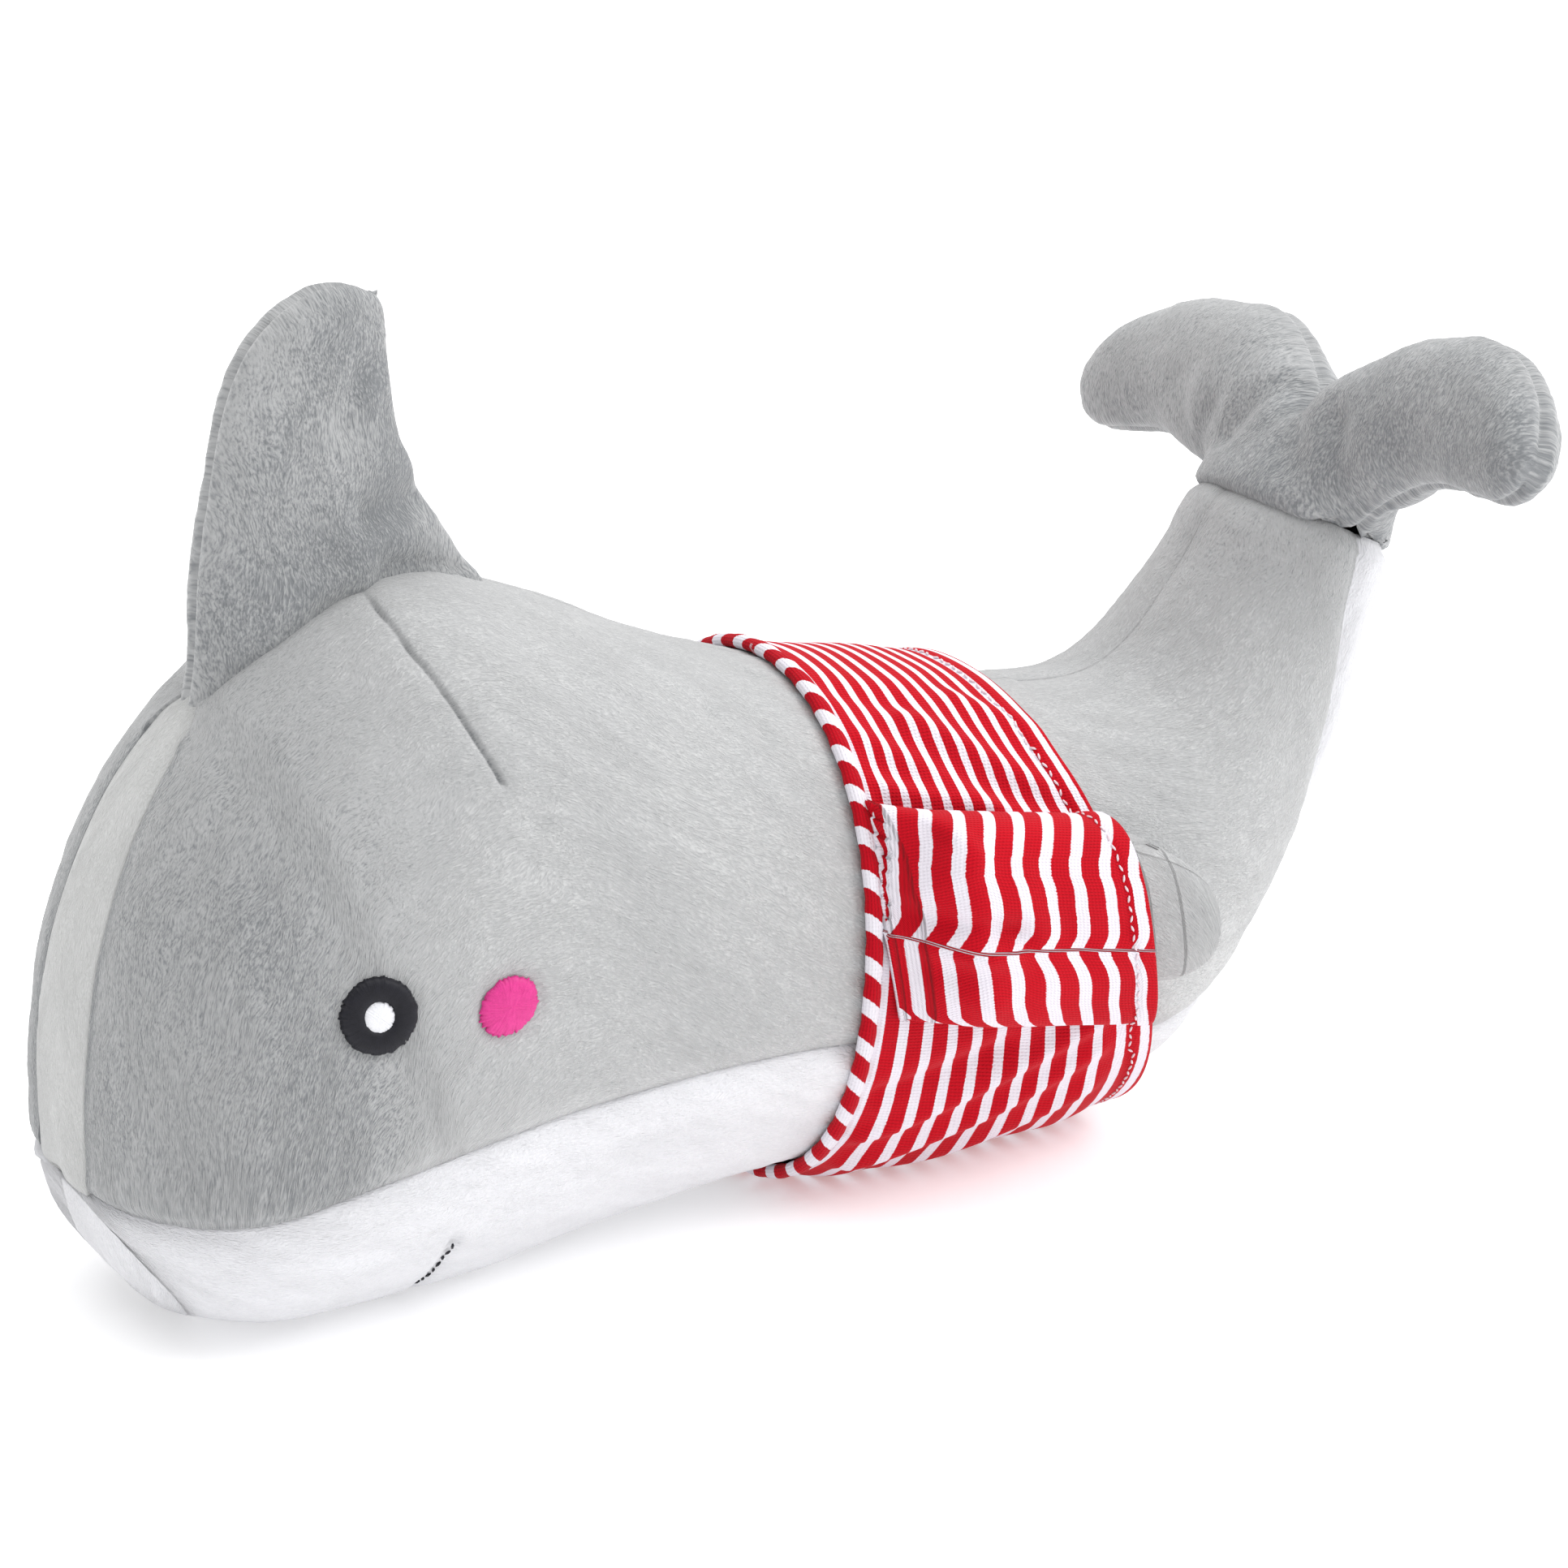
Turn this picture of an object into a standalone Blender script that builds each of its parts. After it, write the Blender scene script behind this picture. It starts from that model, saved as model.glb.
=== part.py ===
"""Plush shark in a striped knitted shirt.

The head points along -X and its left side faces -Y. Sewn plush panels cover loose
stuffing, the dorsal fin, tail, fluke and flippers are padded pieces of their own, and
the shirt is a tube around the middle with two flat sleeves.
"""

import math
from dataclasses import dataclass
from typing import Callable

import bmesh
import bpy
import numpy as np
from mathutils import Vector
from mathutils.bvhtree import BVHTree

MM = 0.001

# Overall sizes of the stuffed body, without fins
BODY_LENGTH = 284 * MM
BODY_WIDTH = 97 * MM
BODY_HEIGHT = 130 * MM
ORIGIN_FROM_NOSE = 144.1 * MM

# Plush panels and what fills them
PLUSH_THICKNESS = 2.2 * MM
SEAM_GAP = 0.3 * MM
STUFFING_GAP = 1.0 * MM
GUSSET_HALF_WIDTH = 11.5 * MM
GUSSET_TOP_HALF_WIDTH = 5.0 * MM

# Where the body is divided, as places along the row of sections below
TORSO_END = 10.6
TORSO_STUFFING_END = 11.05
TAIL_START = 11.8
TAIL_STUFFING_START = 11.85
COLLAR = 10.0
SHIRT_START = 10.08
HEM = 12.0
TAIL_PIVOT_SETBACK = 4 * MM
TAIL_SOCKET_RADIUS = 0.371 * BODY_WIDTH
TAIL_SOCKET_GAP = 0.8 * MM

# Dorsal fin
FIN_FRONT_SECTION = 5.4
FIN_REAR_SECTION = 7.85
FIN_HEIGHT = 65.5 * MM
FIN_BASE_THICKNESS = 20 * MM
FIN_TIP_THICKNESS = 11 * MM
FIN_GAP = 1.0 * MM
PAD_GAP = 0.4 * MM

# Fluke
FLUKE_SPAN = 138 * MM
FLUKE_DEPTH = 40 * MM
FLUKE_THICKNESS = 26 * MM
FLUKE_CURL = 5 * MM
FLUKE_GAP = 1.0 * MM

# Flippers
FLIPPER_LENGTH = 62.5 * MM
FLIPPER_WIDTH = 34 * MM
FLIPPER_THICKNESS = 7.2 * MM
FLIPPER_COVER = 1.2 * MM
FLIPPER_GAP = 1.5 * MM
FLIPPER_ROOT_SETBACK = 5 * MM
FLIPPER_BEND_LENGTH = 16 * MM

# Knitted shirt
KNIT_THICKNESS = 1.2 * MM
COLLAR_EASE = 0.6 * MM
HEM_EASE = 2.6 * MM
HEM_LIFT = 1.3 * MM
FLOOR_PRESS = 1.8 * MM
SLEEVE_LENGTH = 52 * MM
SLEEVE_EASE = 2.3 * MM
SLEEVE_WIDTH = FLIPPER_WIDTH + 2 * (SLEEVE_EASE + KNIT_THICKNESS)
SLEEVE_FRONT_THINNING = 0.4
SLEEVE_START = 1.5 * MM
SLEEVE_SPLAY = 2.0 * MM
SLEEVE_DROOP = 9.5 * MM
SLEEVE_CLEARANCE = 0.7 * MM
ARMHOLE_LENGTH = 20 * MM
ARMHOLE_SETBACK = 2.5 * MM
SHOULDER_ABOVE_MIDDLE = 12 * MM
BINDING_DIAMETER = 2.8 * MM
THREAD_DIAMETER = 0.7 * MM
HEM_ALLOWANCE = 4.3 * MM
TRIM_GAP = 0.35 * MM

# Embroidered face
EMBROIDERY_HEIGHT = 0.8 * MM
EYE_DIAMETER = 13.0 * MM
HIGHLIGHT_DIAMETER = 5.4 * MM
HIGHLIGHT_GAP = 0.4 * MM
EYE_PLACE = (-106.0, 65.7)
CHEEK_LENGTH = 11.2 * MM
CHEEK_HEIGHT = 9.6 * MM
CHEEK_TILT = math.radians(30)
CHEEK_PLACE = (-83.0, 63.5)
SMILE_THREAD_DIAMETER = 0.8 * MM
SMILE_DEPTH = 0.55 * MM
SMILE_GROOVE_CLEARANCE = 0.55 * MM
SMILE_GROOVE_OVERRUN = 1.03
SMILE_MIDDLE_SECTION = 4.6
SMILE_END_SECTION = 5.35
SMILE_END_ANGLE = math.radians(121)

# Sections of the body from the chin to the fluke seam, in millimetres of the paper
# pattern: dorsal x and z, ventral x and z, half width, height of the widest point
PATTERN_SECTIONS = np.array(
    [
        (-140.0, 11.5, -140.0, 11.5, 0.0, 0.50),
        (-145.0, 20.0, -134.0, 4.0, 16.0, 0.50),
        (-147.0, 34.0, -126.0, 1.0, 27.0, 0.46),
        (-146.0, 53.5, -115.0, -1.8, 36.5, 0.44),
        (-141.0, 75.5, -102.0, -1.8, 43.5, 0.43),
        (-129.0, 99.0, -88.0, -1.8, 47.5, 0.44),
        (-109.0, 118.5, -73.0, -1.6, 48.5, 0.45),
        (-84.0, 130.0, -57.0, 0.2, 48.0, 0.46),
        (-57.0, 122.0, -41.0, 2.0, 46.5, 0.48),
        (-31.0, 110.5, -26.0, 3.2, 45.0, 0.49),
        (-6.0, 101.5, -12.0, 3.8, 43.5, 0.50),
        (16.0, 96.5, 15.0, 3.2, 43.0, 0.50),
        (38.0, 91.0, 62.0, 4.8, 42.0, 0.49),
        (56.0, 88.0, 82.0, 17.5, 39.0, 0.48),
        (69.0, 88.5, 100.0, 36.5, 33.5, 0.48),
        (78.5, 93.5, 114.0, 56.0, 28.0, 0.48),
        (86.5, 102.0, 124.0, 74.5, 24.5, 0.48),
        (94.0, 111.5, 131.0, 91.0, 21.5, 0.49),
        (101.0, 121.5, 136.0, 105.5, 20.5, 0.50),
    ]
)
SECTION_SQUARENESS = 2.12

# Seam between the grey side panels and the white belly panel, in pattern x and z
BELLY_SEAM = (
    (-160, 30.5),
    (-140, 28.5),
    (-125, 29.5),
    (-108, 34.5),
    (-80, 39),
    (-55, 40.5),
    (-20, 40),
    (20, 34),
    (50, 27),
    (70, 25),
    (83, 29),
    (94, 40),
    (104, 54),
    (110, 70),
    (115, 88),
    (119, 108),
    (122, 126),
)

# Outlines of the padded pieces, as rungs from the base outwards. The fin's are front and
# rear edge, as shares of its base length and height; the fluke's are the lower and upper
# edge at a share of the half span, as shares of its depth; the flipper's are the lower and
# upper edge at a share of its length, as shares of its width.
FIN_RUNGS = (
    ((0.00, 0.00), (1.00, 0.00)),
    ((0.045, 0.16), (0.89, 0.17)),
    ((0.07, 0.36), (0.785, 0.34)),
    ((0.105, 0.55), (0.705, 0.54)),
    ((0.16, 0.76), (0.675, 0.72)),
    ((0.235, 0.91), (0.675, 0.87)),
    ((0.33, 0.985), (0.655, 0.945)),
)
FLUKE_RUNGS = (
    (0.00, 0.00, 0.50),
    (0.08, 0.01, 0.66),
    (0.20, 0.02, 0.85),
    (0.34, 0.06, 0.98),
    (0.45, 0.18, 1.00),
    (0.61, 0.27, 1.00),
    (0.78, 0.26, 0.91),
    (0.90, 0.25, 0.76),
    (0.97, 0.32, 0.58),
)
FLIPPER_RUNGS = (
    (0.00, -0.40, 0.40),
    (0.25, -0.48, 0.48),
    (0.55, -0.50, 0.50),
    (0.80, -0.45, 0.45),
    (0.95, -0.27, 0.27),
)

# How finely the surfaces are divided
BODY_RINGS_PER_SECTION = 1.7
BODY_SIDES = 28
STUFFING_SIDES = 20
STUFFING_RINGS_PER_SECTION = 1.1


def catmull_rom(points, place):
    """The point at a place along a smooth curve through every given point.

    The place counts the given points: 0 is the first and 1.5 is halfway from the
    second to the third.
    """
    points = np.asarray(points, float)
    last = len(points) - 1
    place = min(max(place, 0.0), last - 1e-9)
    first = int(place)
    step = place - first
    before, here, after, beyond = (points[min(max(first + k, 0), last)] for k in (-1, 0, 1, 2))
    line = (after - before) * step
    square = (2 * before - 5 * here + 4 * after - beyond) * step**2
    cube = (3 * here - before - 3 * after + beyond) * step**3
    return here + (line + square + cube) / 2


def graded_sections():
    """The pattern's sections in metres, graded to the overall sizes."""
    pattern = PATTERN_SECTIONS
    nose = pattern[:, 0].min()
    length = BODY_LENGTH / (pattern[:, 2].max() - nose)
    height = BODY_HEIGHT / pattern[:, 1].max()
    width = BODY_WIDTH / (2 * pattern[:, 4].max())
    graded = pattern.copy()
    graded[:, (0, 2)] = (pattern[:, (0, 2)] - nose) * length - ORIGIN_FROM_NOSE
    graded[:, (1, 3)] = pattern[:, (1, 3)] * height
    graded[:, 4] = pattern[:, 4] * width
    return graded


SECTIONS = graded_sections()
LAST_SECTION = len(SECTIONS) - 1


def on_pattern(x, z):
    """A pattern place, in millimetres, as graded x and z in metres."""
    pattern = PATTERN_SECTIONS
    length = BODY_LENGTH / (pattern[:, 2].max() - pattern[:, 0].min())
    height = BODY_HEIGHT / pattern[:, 1].max()
    return (x - pattern[:, 0].min()) * length - ORIGIN_FROM_NOSE, z * height


@dataclass
class Section:
    """One slanted slice of the body, from its dorsal point to its ventral point."""

    dorsal: np.ndarray
    ventral: np.ndarray
    half_width: float
    waist: float

    def middle(self):
        return (self.dorsal + self.ventral) / 2

    def up(self):
        """Unit direction from the ventral to the dorsal point, in x and z."""
        line = self.dorsal - self.ventral
        return line / np.linalg.norm(line)

    def grown(self, top, side, bottom):
        """The same slice with its dorsal, side and ventral points moved outwards."""
        return Section(
            self.dorsal + self.up() * top,
            self.ventral - self.up() * bottom,
            self.half_width + side,
            self.waist,
        )

    def point(self, angle):
        """The skin at an angle from the dorsal point, turning towards the left side."""
        across = math.sin(angle)
        along = math.cos(angle)
        power = 2 / SECTION_SQUARENESS
        centre = self.ventral + (self.dorsal - self.ventral) * self.waist
        end = self.dorsal if along >= 0 else self.ventral
        x, z = centre + (end - centre) * abs(along) ** power
        y = -math.copysign(abs(across) ** power, across) * self.half_width
        return Vector((x, y, max(z, 0.0)))


def section_at(place):
    """The body's section at a place along its row of sections."""
    row = catmull_rom(SECTIONS, place)
    return Section(row[0:2], row[2:4], max(row[4], 0.0), row[5])


def ring_points(section, sides):
    return [section.point(2 * math.pi * k / sides) for k in range(sides)]


def places(start, end, rings_per_section):
    """Evenly spaced places from start to end, both included."""
    count = max(2, round((end - start) * rings_per_section) + 1)
    return list(np.linspace(start, end, count))


# ---------------------------------------------------------------- materials and objects


def material(name, colour, roughness):
    """A plain finish with a name, an RGB colour and a roughness."""
    made = bpy.data.materials.new(name)
    made.use_nodes = True
    shader = made.node_tree.nodes["Principled BSDF"]
    shader.inputs["Base Color"].default_value = (*colour, 1.0)
    shader.inputs["Roughness"].default_value = roughness
    shader.inputs["Metallic"].default_value = 0.0
    made.diffuse_color = (*colour, 1.0)
    return made


def add_object(name, bm, finish, smooth=True):
    """An object made from a bmesh, with its faces turned outwards."""
    bmesh.ops.recalc_face_normals(bm, faces=bm.faces)
    closed = all(edge.is_manifold for edge in bm.edges)
    if closed and bm.calc_volume(signed=True) < 0:
        bmesh.ops.reverse_faces(bm, faces=bm.faces)
    mesh = bpy.data.meshes.new(name)
    bm.to_mesh(mesh)
    bm.free()
    if smooth:
        mesh.shade_smooth()
    if finish:
        mesh.materials.append(finish)
    made = bpy.data.objects.new(name, mesh)
    bpy.context.collection.objects.link(made)
    return made


def as_cutter(obj):
    """Marks an object as a tool for cutting others, which isn't a piece itself."""
    obj.hide_render = True
    obj.display_type = "WIRE"
    return obj


def add_boolean(obj, operation, tool):
    cut = obj.modifiers.new(f"{operation.lower()}_{tool.name}", "BOOLEAN")
    cut.operation = operation
    cut.solver = "EXACT"
    cut.object = tool


def add_wall(obj, thickness):
    """Gives an open surface a wall that grows inwards."""
    wall = obj.modifiers.new("wall", "SOLIDIFY")
    wall.thickness = thickness
    wall.offset = -1.0
    wall.use_rim = True


# ---------------------------------------------------------------- bmesh shapes


def add_ring(bm, points):
    """A closed loop of edges through the given points; returns its edges."""
    made = bmesh.ops.create_circle(bm, cap_ends=False, segments=len(points), radius=1.0)
    verts = sorted(made["verts"], key=lambda v: v.index if v.index >= 0 else 0)
    for vert, point in zip(verts, points):
        vert.co = point
    return list({edge for vert in verts for edge in vert.link_edges})


def loft(bm, rings):
    """Bridges neighbouring rings into one tube; returns the first and last loop."""
    loops = [add_ring(bm, ring) for ring in rings]
    for near, far in zip(loops, loops[1:]):
        bmesh.ops.bridge_loops(bm, edges=near + far)
    return loops[0], loops[-1]


def close_flat(bm, loop):
    bmesh.ops.holes_fill(bm, edges=loop, sides=0)


def close_point(bm, loop, tip):
    """Closes a loop with a fan of triangles that meet at a tip."""
    made = bmesh.ops.holes_fill(bm, edges=loop, sides=0)
    fan = bmesh.ops.poke(bm, faces=made["faces"])
    fan["verts"][0].co = tip


def body_surface(name, start, end, rings_per_section, sides, inset, ends, finish):
    """The body's surface between two places, moved inwards by inset.

    With ends set, the cut ends are closed flat; the chin is always closed.
    """
    bm = bmesh.new()
    at_chin = start == 0
    stops = places(start, end, rings_per_section)
    if at_chin:
        stops = stops[1:]
    first, last = loft(bm, [ring_points(section_at(stop), sides) for stop in stops])
    if at_chin:
        chin = section_at(0.0).dorsal
        close_point(bm, first, (chin[0], 0.0, chin[1]))
    bmesh.ops.recalc_face_normals(bm, faces=bm.faces)
    bm.normal_update()
    moves = [(vert, vert.normal.copy()) for vert in bm.verts]
    for vert, normal in moves:
        vert.co -= normal * inset
    if ends:
        close_flat(bm, last)
        if not at_chin:
            close_flat(bm, first)
    return add_object(name, bm, finish)


def prism(name, outline, axis, low, high):
    """A cutter with an outline across the given axis, from low to high along it.

    An outline across Y holds x and z, and an outline across X holds y and z.
    """
    bm = bmesh.new()
    if axis == "Y":
        verts = [bm.verts.new((a, low, b)) for a, b in outline]
        step = Vector((0.0, high - low, 0.0))
    else:
        verts = [bm.verts.new((low, a, b)) for a, b in outline]
        step = Vector((high - low, 0.0, 0.0))
    face = bm.faces.new(verts)
    made = bmesh.ops.extrude_face_region(bm, geom=[face])
    moved = [item for item in made["geom"] if isinstance(item, bmesh.types.BMVert)]
    bmesh.ops.translate(bm, verts=moved, vec=step)
    return as_cutter(add_object(name, bm, None, smooth=False))


def rod(name, path, diameter, sides, closed, finish):
    """A round thread along a path across X, closed into a ring or with flat ends."""
    bm = bmesh.new()
    last = len(path) - 1
    rings = []
    for index, here in enumerate(path):
        before = path[index - 1] if closed or index > 0 else here
        after = path[(index + 1) % len(path)] if closed or index < last else here
        along = (after - before).normalized()
        side = along.cross(Vector((1.0, 0.0, 0.0))).normalized()
        up = side.cross(along)
        turns = [2 * math.pi * k / sides for k in range(sides)]
        rings.append(
            [here + (side * math.cos(turn) + up * math.sin(turn)) * diameter / 2 for turn in turns]
        )
    first, end = loft(bm, rings)
    if closed:
        bmesh.ops.bridge_loops(bm, edges=first + end)
    else:
        close_flat(bm, first)
        close_flat(bm, end)
    return add_object(name, bm, finish)


def ball(name, centre, radius):
    bm = bmesh.new()
    bmesh.ops.create_uvsphere(bm, u_segments=24, v_segments=14, radius=radius)
    bmesh.ops.translate(bm, verts=bm.verts, vec=centre)
    return as_cutter(add_object(name, bm, None))


# ---------------------------------------------------------------- padded pieces


def quarter_round(share, reach):
    """Rises like a quarter circle from 0 at the edge to 1 at the reach and beyond."""
    inside = min(max(share / reach, 0.0), 1.0)
    return math.sqrt(inside * (2 - inside))


def wedge(share, reach):
    """Rises along a straight slope that eases off, from 0 at the edge to 1 at the reach."""
    inside = min(max(share / reach, 0.0), 1.0)
    return math.sin(inside * math.pi / 2)


@dataclass
class Pad:
    """A padded piece sewn from two covers, in its own flat pattern.

    low and high are its two long edges as pattern points from start to end. start_bow
    and end_bow give how far its short edges bow out at a share across. thickness gives
    the full thickness, and fullness the share of it, at shares across and along. place
    turns a pattern point and a height above the seam into a point in space.
    """

    low: list
    high: list
    start_bow: Callable
    end_bow: Callable
    thickness: Callable
    fullness: Callable
    place: Callable
    cover: float
    across: int
    along: int

    def pattern_point(self, across, along):
        steps = len(self.low) - 1
        low = catmull_rom(self.low, along * steps)
        high = catmull_rom(self.high, along * steps)
        bow = self.start_bow(across) * (1 - along) ** 3 + self.end_bow(across) * along**3
        return low * (1 - across) + high * across + bow

    def inset_point(self, across, along, margin):
        """A pattern point with the edges drawn in by a margin."""
        steps = len(self.low) - 1
        rung = catmull_rom(self.high, along * steps) - catmull_rom(self.low, along * steps)
        column = self.pattern_point(across, 1.0) - self.pattern_point(across, 0.0)
        in_across = min(margin / np.linalg.norm(rung), 0.4)
        in_along = min(margin / np.linalg.norm(column), 0.4)
        return self.pattern_point(
            in_across + (1 - 2 * in_across) * across,
            in_along + (1 - 2 * in_along) * along,
        )

    def add_sheet(self, bm, side, margin, lift):
        """One curved sheet of the pad, margin inside its surface; returns its vertices."""
        made = bmesh.ops.create_grid(bm, x_segments=self.across, y_segments=self.along, size=0.5)
        for vert in made["verts"]:
            across = 0.5 + 0.5 * math.sin(math.pi * vert.co.x)
            along = 0.5 + 0.5 * math.sin(math.pi * vert.co.y)
            half = self.thickness(across, along) / 2 - margin
            height = side * (lift + half * self.fullness(across, along))
            a, b = self.inset_point(across, along, margin)
            vert.co = self.place(a, b, height)
        return made["verts"]

    def add_cover(self, name, side, finish):
        """The cover on one side of the seam."""
        bm = bmesh.new()
        outer = self.add_sheet(bm, side, 0.0, SEAM_GAP / 2)
        inner = self.add_sheet(bm, side, self.cover, SEAM_GAP / 2)
        beneath = dict(zip(outer, inner))
        for edge in [edge for edge in bm.edges if edge.is_boundary and edge.verts[0] in beneath]:
            near, far = edge.verts
            bm.faces.new((near, far, beneath[far], beneath[near]))
        return add_object(name, bm, finish)

    def add_stuffing(self, name, finish):
        """The filling between the two covers."""
        bm = bmesh.new()
        front = self.add_sheet(bm, 1, self.cover + PAD_GAP, 0.0)
        back = self.add_sheet(bm, -1, self.cover + PAD_GAP, 0.0)
        seam = {near: far for near, far in zip(front, back) if near.is_boundary}
        bmesh.ops.weld_verts(bm, targetmap=seam)
        return add_object(name, bm, finish)


def no_bow(across):
    return np.zeros(2)


def dorsal_fin_pad():
    """The dorsal fin, standing in the plane of symmetry on the head's dorsal line."""

    def base(across):
        place = FIN_FRONT_SECTION + (FIN_REAR_SECTION - FIN_FRONT_SECTION) * across
        section = section_at(place)
        return section.dorsal + section.up() * FIN_GAP

    front, rear = base(0.0), base(1.0)

    def rung_point(share, height):
        return front + (rear - front) * share + np.array([0.0, FIN_HEIGHT * height])

    return Pad(
        low=[rung_point(*low) for low, _ in FIN_RUNGS],
        high=[rung_point(*high) for _, high in FIN_RUNGS],
        start_bow=lambda across: base(across) - (front + (rear - front) * across),
        end_bow=lambda across: np.array([0.0, 3 * MM]) * math.sin(math.pi * across),
        thickness=lambda across, along: FIN_BASE_THICKNESS
        + (FIN_TIP_THICKNESS - FIN_BASE_THICKNESS) * along,
        fullness=lambda across, along: quarter_round(across, 0.5)
        * quarter_round(1 - across, 0.5)
        * wedge(along, 0.22)
        * quarter_round(1 - along, 0.12),
        place=lambda a, b, height: Vector((a, -height, b)),
        cover=PLUSH_THICKNESS,
        across=7,
        along=8,
    )


def fluke_pad():
    """The fluke, across the end of the tail and in line with it."""
    seam = section_at(LAST_SECTION)
    across_tail = seam.up()
    outwards = np.array([across_tail[1], -across_tail[0]])
    start = seam.middle() + outwards * FLUKE_GAP
    half_span = FLUKE_SPAN / 2
    rungs = [(-share, low, high) for share, low, high in FLUKE_RUNGS[:0:-1]] + list(FLUKE_RUNGS)

    def place(a, b, height):
        x, z = start + outwards * b + across_tail * height
        x -= FLUKE_CURL * (a / half_span) ** 2
        return Vector((x, a, z))

    def tip_bow(direction):
        reach = direction * 0.03 * half_span
        return lambda across: np.array([reach, 0.0]) * math.sin(math.pi * across)

    return Pad(
        low=[np.array([share * half_span, low * FLUKE_DEPTH]) for share, low, _ in rungs],
        high=[np.array([share * half_span, high * FLUKE_DEPTH]) for share, _, high in rungs],
        start_bow=tip_bow(-1),
        end_bow=tip_bow(1),
        thickness=lambda across, along: FLUKE_THICKNESS * (1 - 0.45 * abs(2 * along - 1) ** 2),
        fullness=lambda across, along: wedge(across, 0.45)
        * quarter_round(1 - across, 0.45)
        * quarter_round(along, 0.1)
        * quarter_round(1 - along, 0.1),
        place=place,
        cover=PLUSH_THICKNESS,
        across=5,
        along=16,
    )


# ---------------------------------------------------------------- sub-assemblies


def smooth_step(share):
    inside = min(max(share, 0.0), 1.0)
    return inside * inside * (3 - 2 * inside)


def belly_seam_prism(name, above, low, high):
    """A cutter that keeps what is above, or below, the seam of the belly panel."""
    seam = [on_pattern(x, z) for x, z in BELLY_SEAM]
    stops = np.linspace(0, len(seam) - 1, 29)
    shift = SEAM_GAP / 2 if above else -SEAM_GAP / 2
    line = [catmull_rom(seam, stop) for stop in stops]
    directions = np.gradient(np.array(line), axis=0)
    shifted = []
    for (x, z), (run, rise) in zip(line, directions):
        length = math.hypot(run, rise)
        shifted.append((x - rise / length * shift, z + run / length * shift))
    beyond = 0.4
    if above:
        corners = [(shifted[-1][0], beyond), (-beyond, beyond), (-beyond, shifted[0][1])]
    else:
        corners = [(beyond, shifted[-1][1]), (beyond, -0.01), (shifted[0][0], -0.01)]
    return prism(name, shifted + corners, "Y", low, high)


def gusset_prism(name, margin):
    """A cutter for the forehead gusset, which narrows towards the dorsal fin."""
    heights = (-0.05, 0.45, 0.60, 0.75, 0.86, 1.2)
    taper = (0.0, 0.0, 0.2, 0.5, 0.9, 1.0)
    right = []
    for height, share in zip(heights, taper):
        width = GUSSET_HALF_WIDTH + (GUSSET_TOP_HALF_WIDTH - GUSSET_HALF_WIDTH) * share
        right.append((width + margin, height * BODY_HEIGHT))
    left = [(-y, z) for y, z in reversed(right)]
    rear = section_at(FIN_FRONT_SECTION).dorsal[0] + margin
    return prism(name, right + left, "X", -0.3, rear)


def side_ranges():
    """Each side's name with the Y range of its half of the body."""
    wide = 0.3
    return (("left", -wide, -SEAM_GAP / 2), ("right", SEAM_GAP / 2, wide))


def add_body_panels(finishes):
    """The plush panels of the torso and the tail, cut from one skin along the seams."""
    gusset = gusset_prism("gusset_cutter", 0.0)
    gusset_hole = gusset_prism("gusset_hole_cutter", SEAM_GAP)
    below = belly_seam_prism("belly_cutter", False, -0.3, 0.3)
    above = belly_seam_prism("above_belly_cutter", True, -0.3, 0.3)
    torso = (0.0, TORSO_END)
    tail = (TAIL_START, LAST_SECTION)

    def add_panel(name, span, finish):
        panel = body_surface(
            name, *span, BODY_RINGS_PER_SECTION, BODY_SIDES, 0.0, False, finish
        )
        add_wall(panel, PLUSH_THICKNESS)
        return panel

    panels = {}
    for side, low, high in side_ranges():
        half = belly_seam_prism(f"{side}_half_cutter", True, low, high)
        panel = add_panel(f"{side}_side_panel", torso, finishes["grey_plush"])
        add_boolean(panel, "INTERSECT", half)
        add_boolean(panel, "DIFFERENCE", gusset_hole)
        tail_panel = add_panel(f"tail_{side}_panel", tail, finishes["grey_plush"])
        add_boolean(tail_panel, "INTERSECT", half)
        panels[f"tail_{side}_panel"] = tail_panel
    forehead = add_panel("forehead_gusset", torso, finishes["grey_plush"])
    add_boolean(forehead, "INTERSECT", gusset)
    add_boolean(forehead, "INTERSECT", above)
    belly = add_panel("belly_panel", torso, finishes["white_plush"])
    add_boolean(belly, "INTERSECT", below)
    panels["belly_panel"] = belly
    tail_belly = add_panel("tail_belly_panel", tail, finishes["white_plush"])
    add_boolean(tail_belly, "INTERSECT", below)
    panels["tail_belly_panel"] = tail_belly
    return panels


def tail_pivot():
    """The middle of the shirt's hem, set back a little towards the head."""
    x, z = section_at(HEM).middle()
    return Vector((x - TAIL_PIVOT_SETBACK, 0.0, z))


def add_stuffing(finishes):
    """The fillings of the torso and the tail, which meet in a ball and a socket."""
    inset = PLUSH_THICKNESS + STUFFING_GAP
    shape = (STUFFING_RINGS_PER_SECTION, STUFFING_SIDES, inset, True, finishes["stuffing"])
    torso = body_surface("body_stuffing", 0.0, TORSO_STUFFING_END, *shape)
    socket = ball("tail_socket_cutter", tail_pivot(), TAIL_SOCKET_RADIUS + TAIL_SOCKET_GAP)
    add_boolean(torso, "DIFFERENCE", socket)
    tail = body_surface("tail_stuffing", TAIL_STUFFING_START, LAST_SECTION, *shape)
    add_boolean(tail, "UNION", ball("tail_ball_cutter", tail_pivot(), TAIL_SOCKET_RADIUS))
    return tail


def skin_tree():
    """The torso's outer skin, for laying embroidery on it."""
    shape = (BODY_RINGS_PER_SECTION, BODY_SIDES, 0.0, False, None)
    skin = as_cutter(body_surface("skin_guide", 0.0, TORSO_END, *shape))
    points = [vert.co.copy() for vert in skin.data.vertices]
    faces = [tuple(face.vertices) for face in skin.data.polygons]
    return BVHTree.FromPolygons(points, faces)


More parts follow.
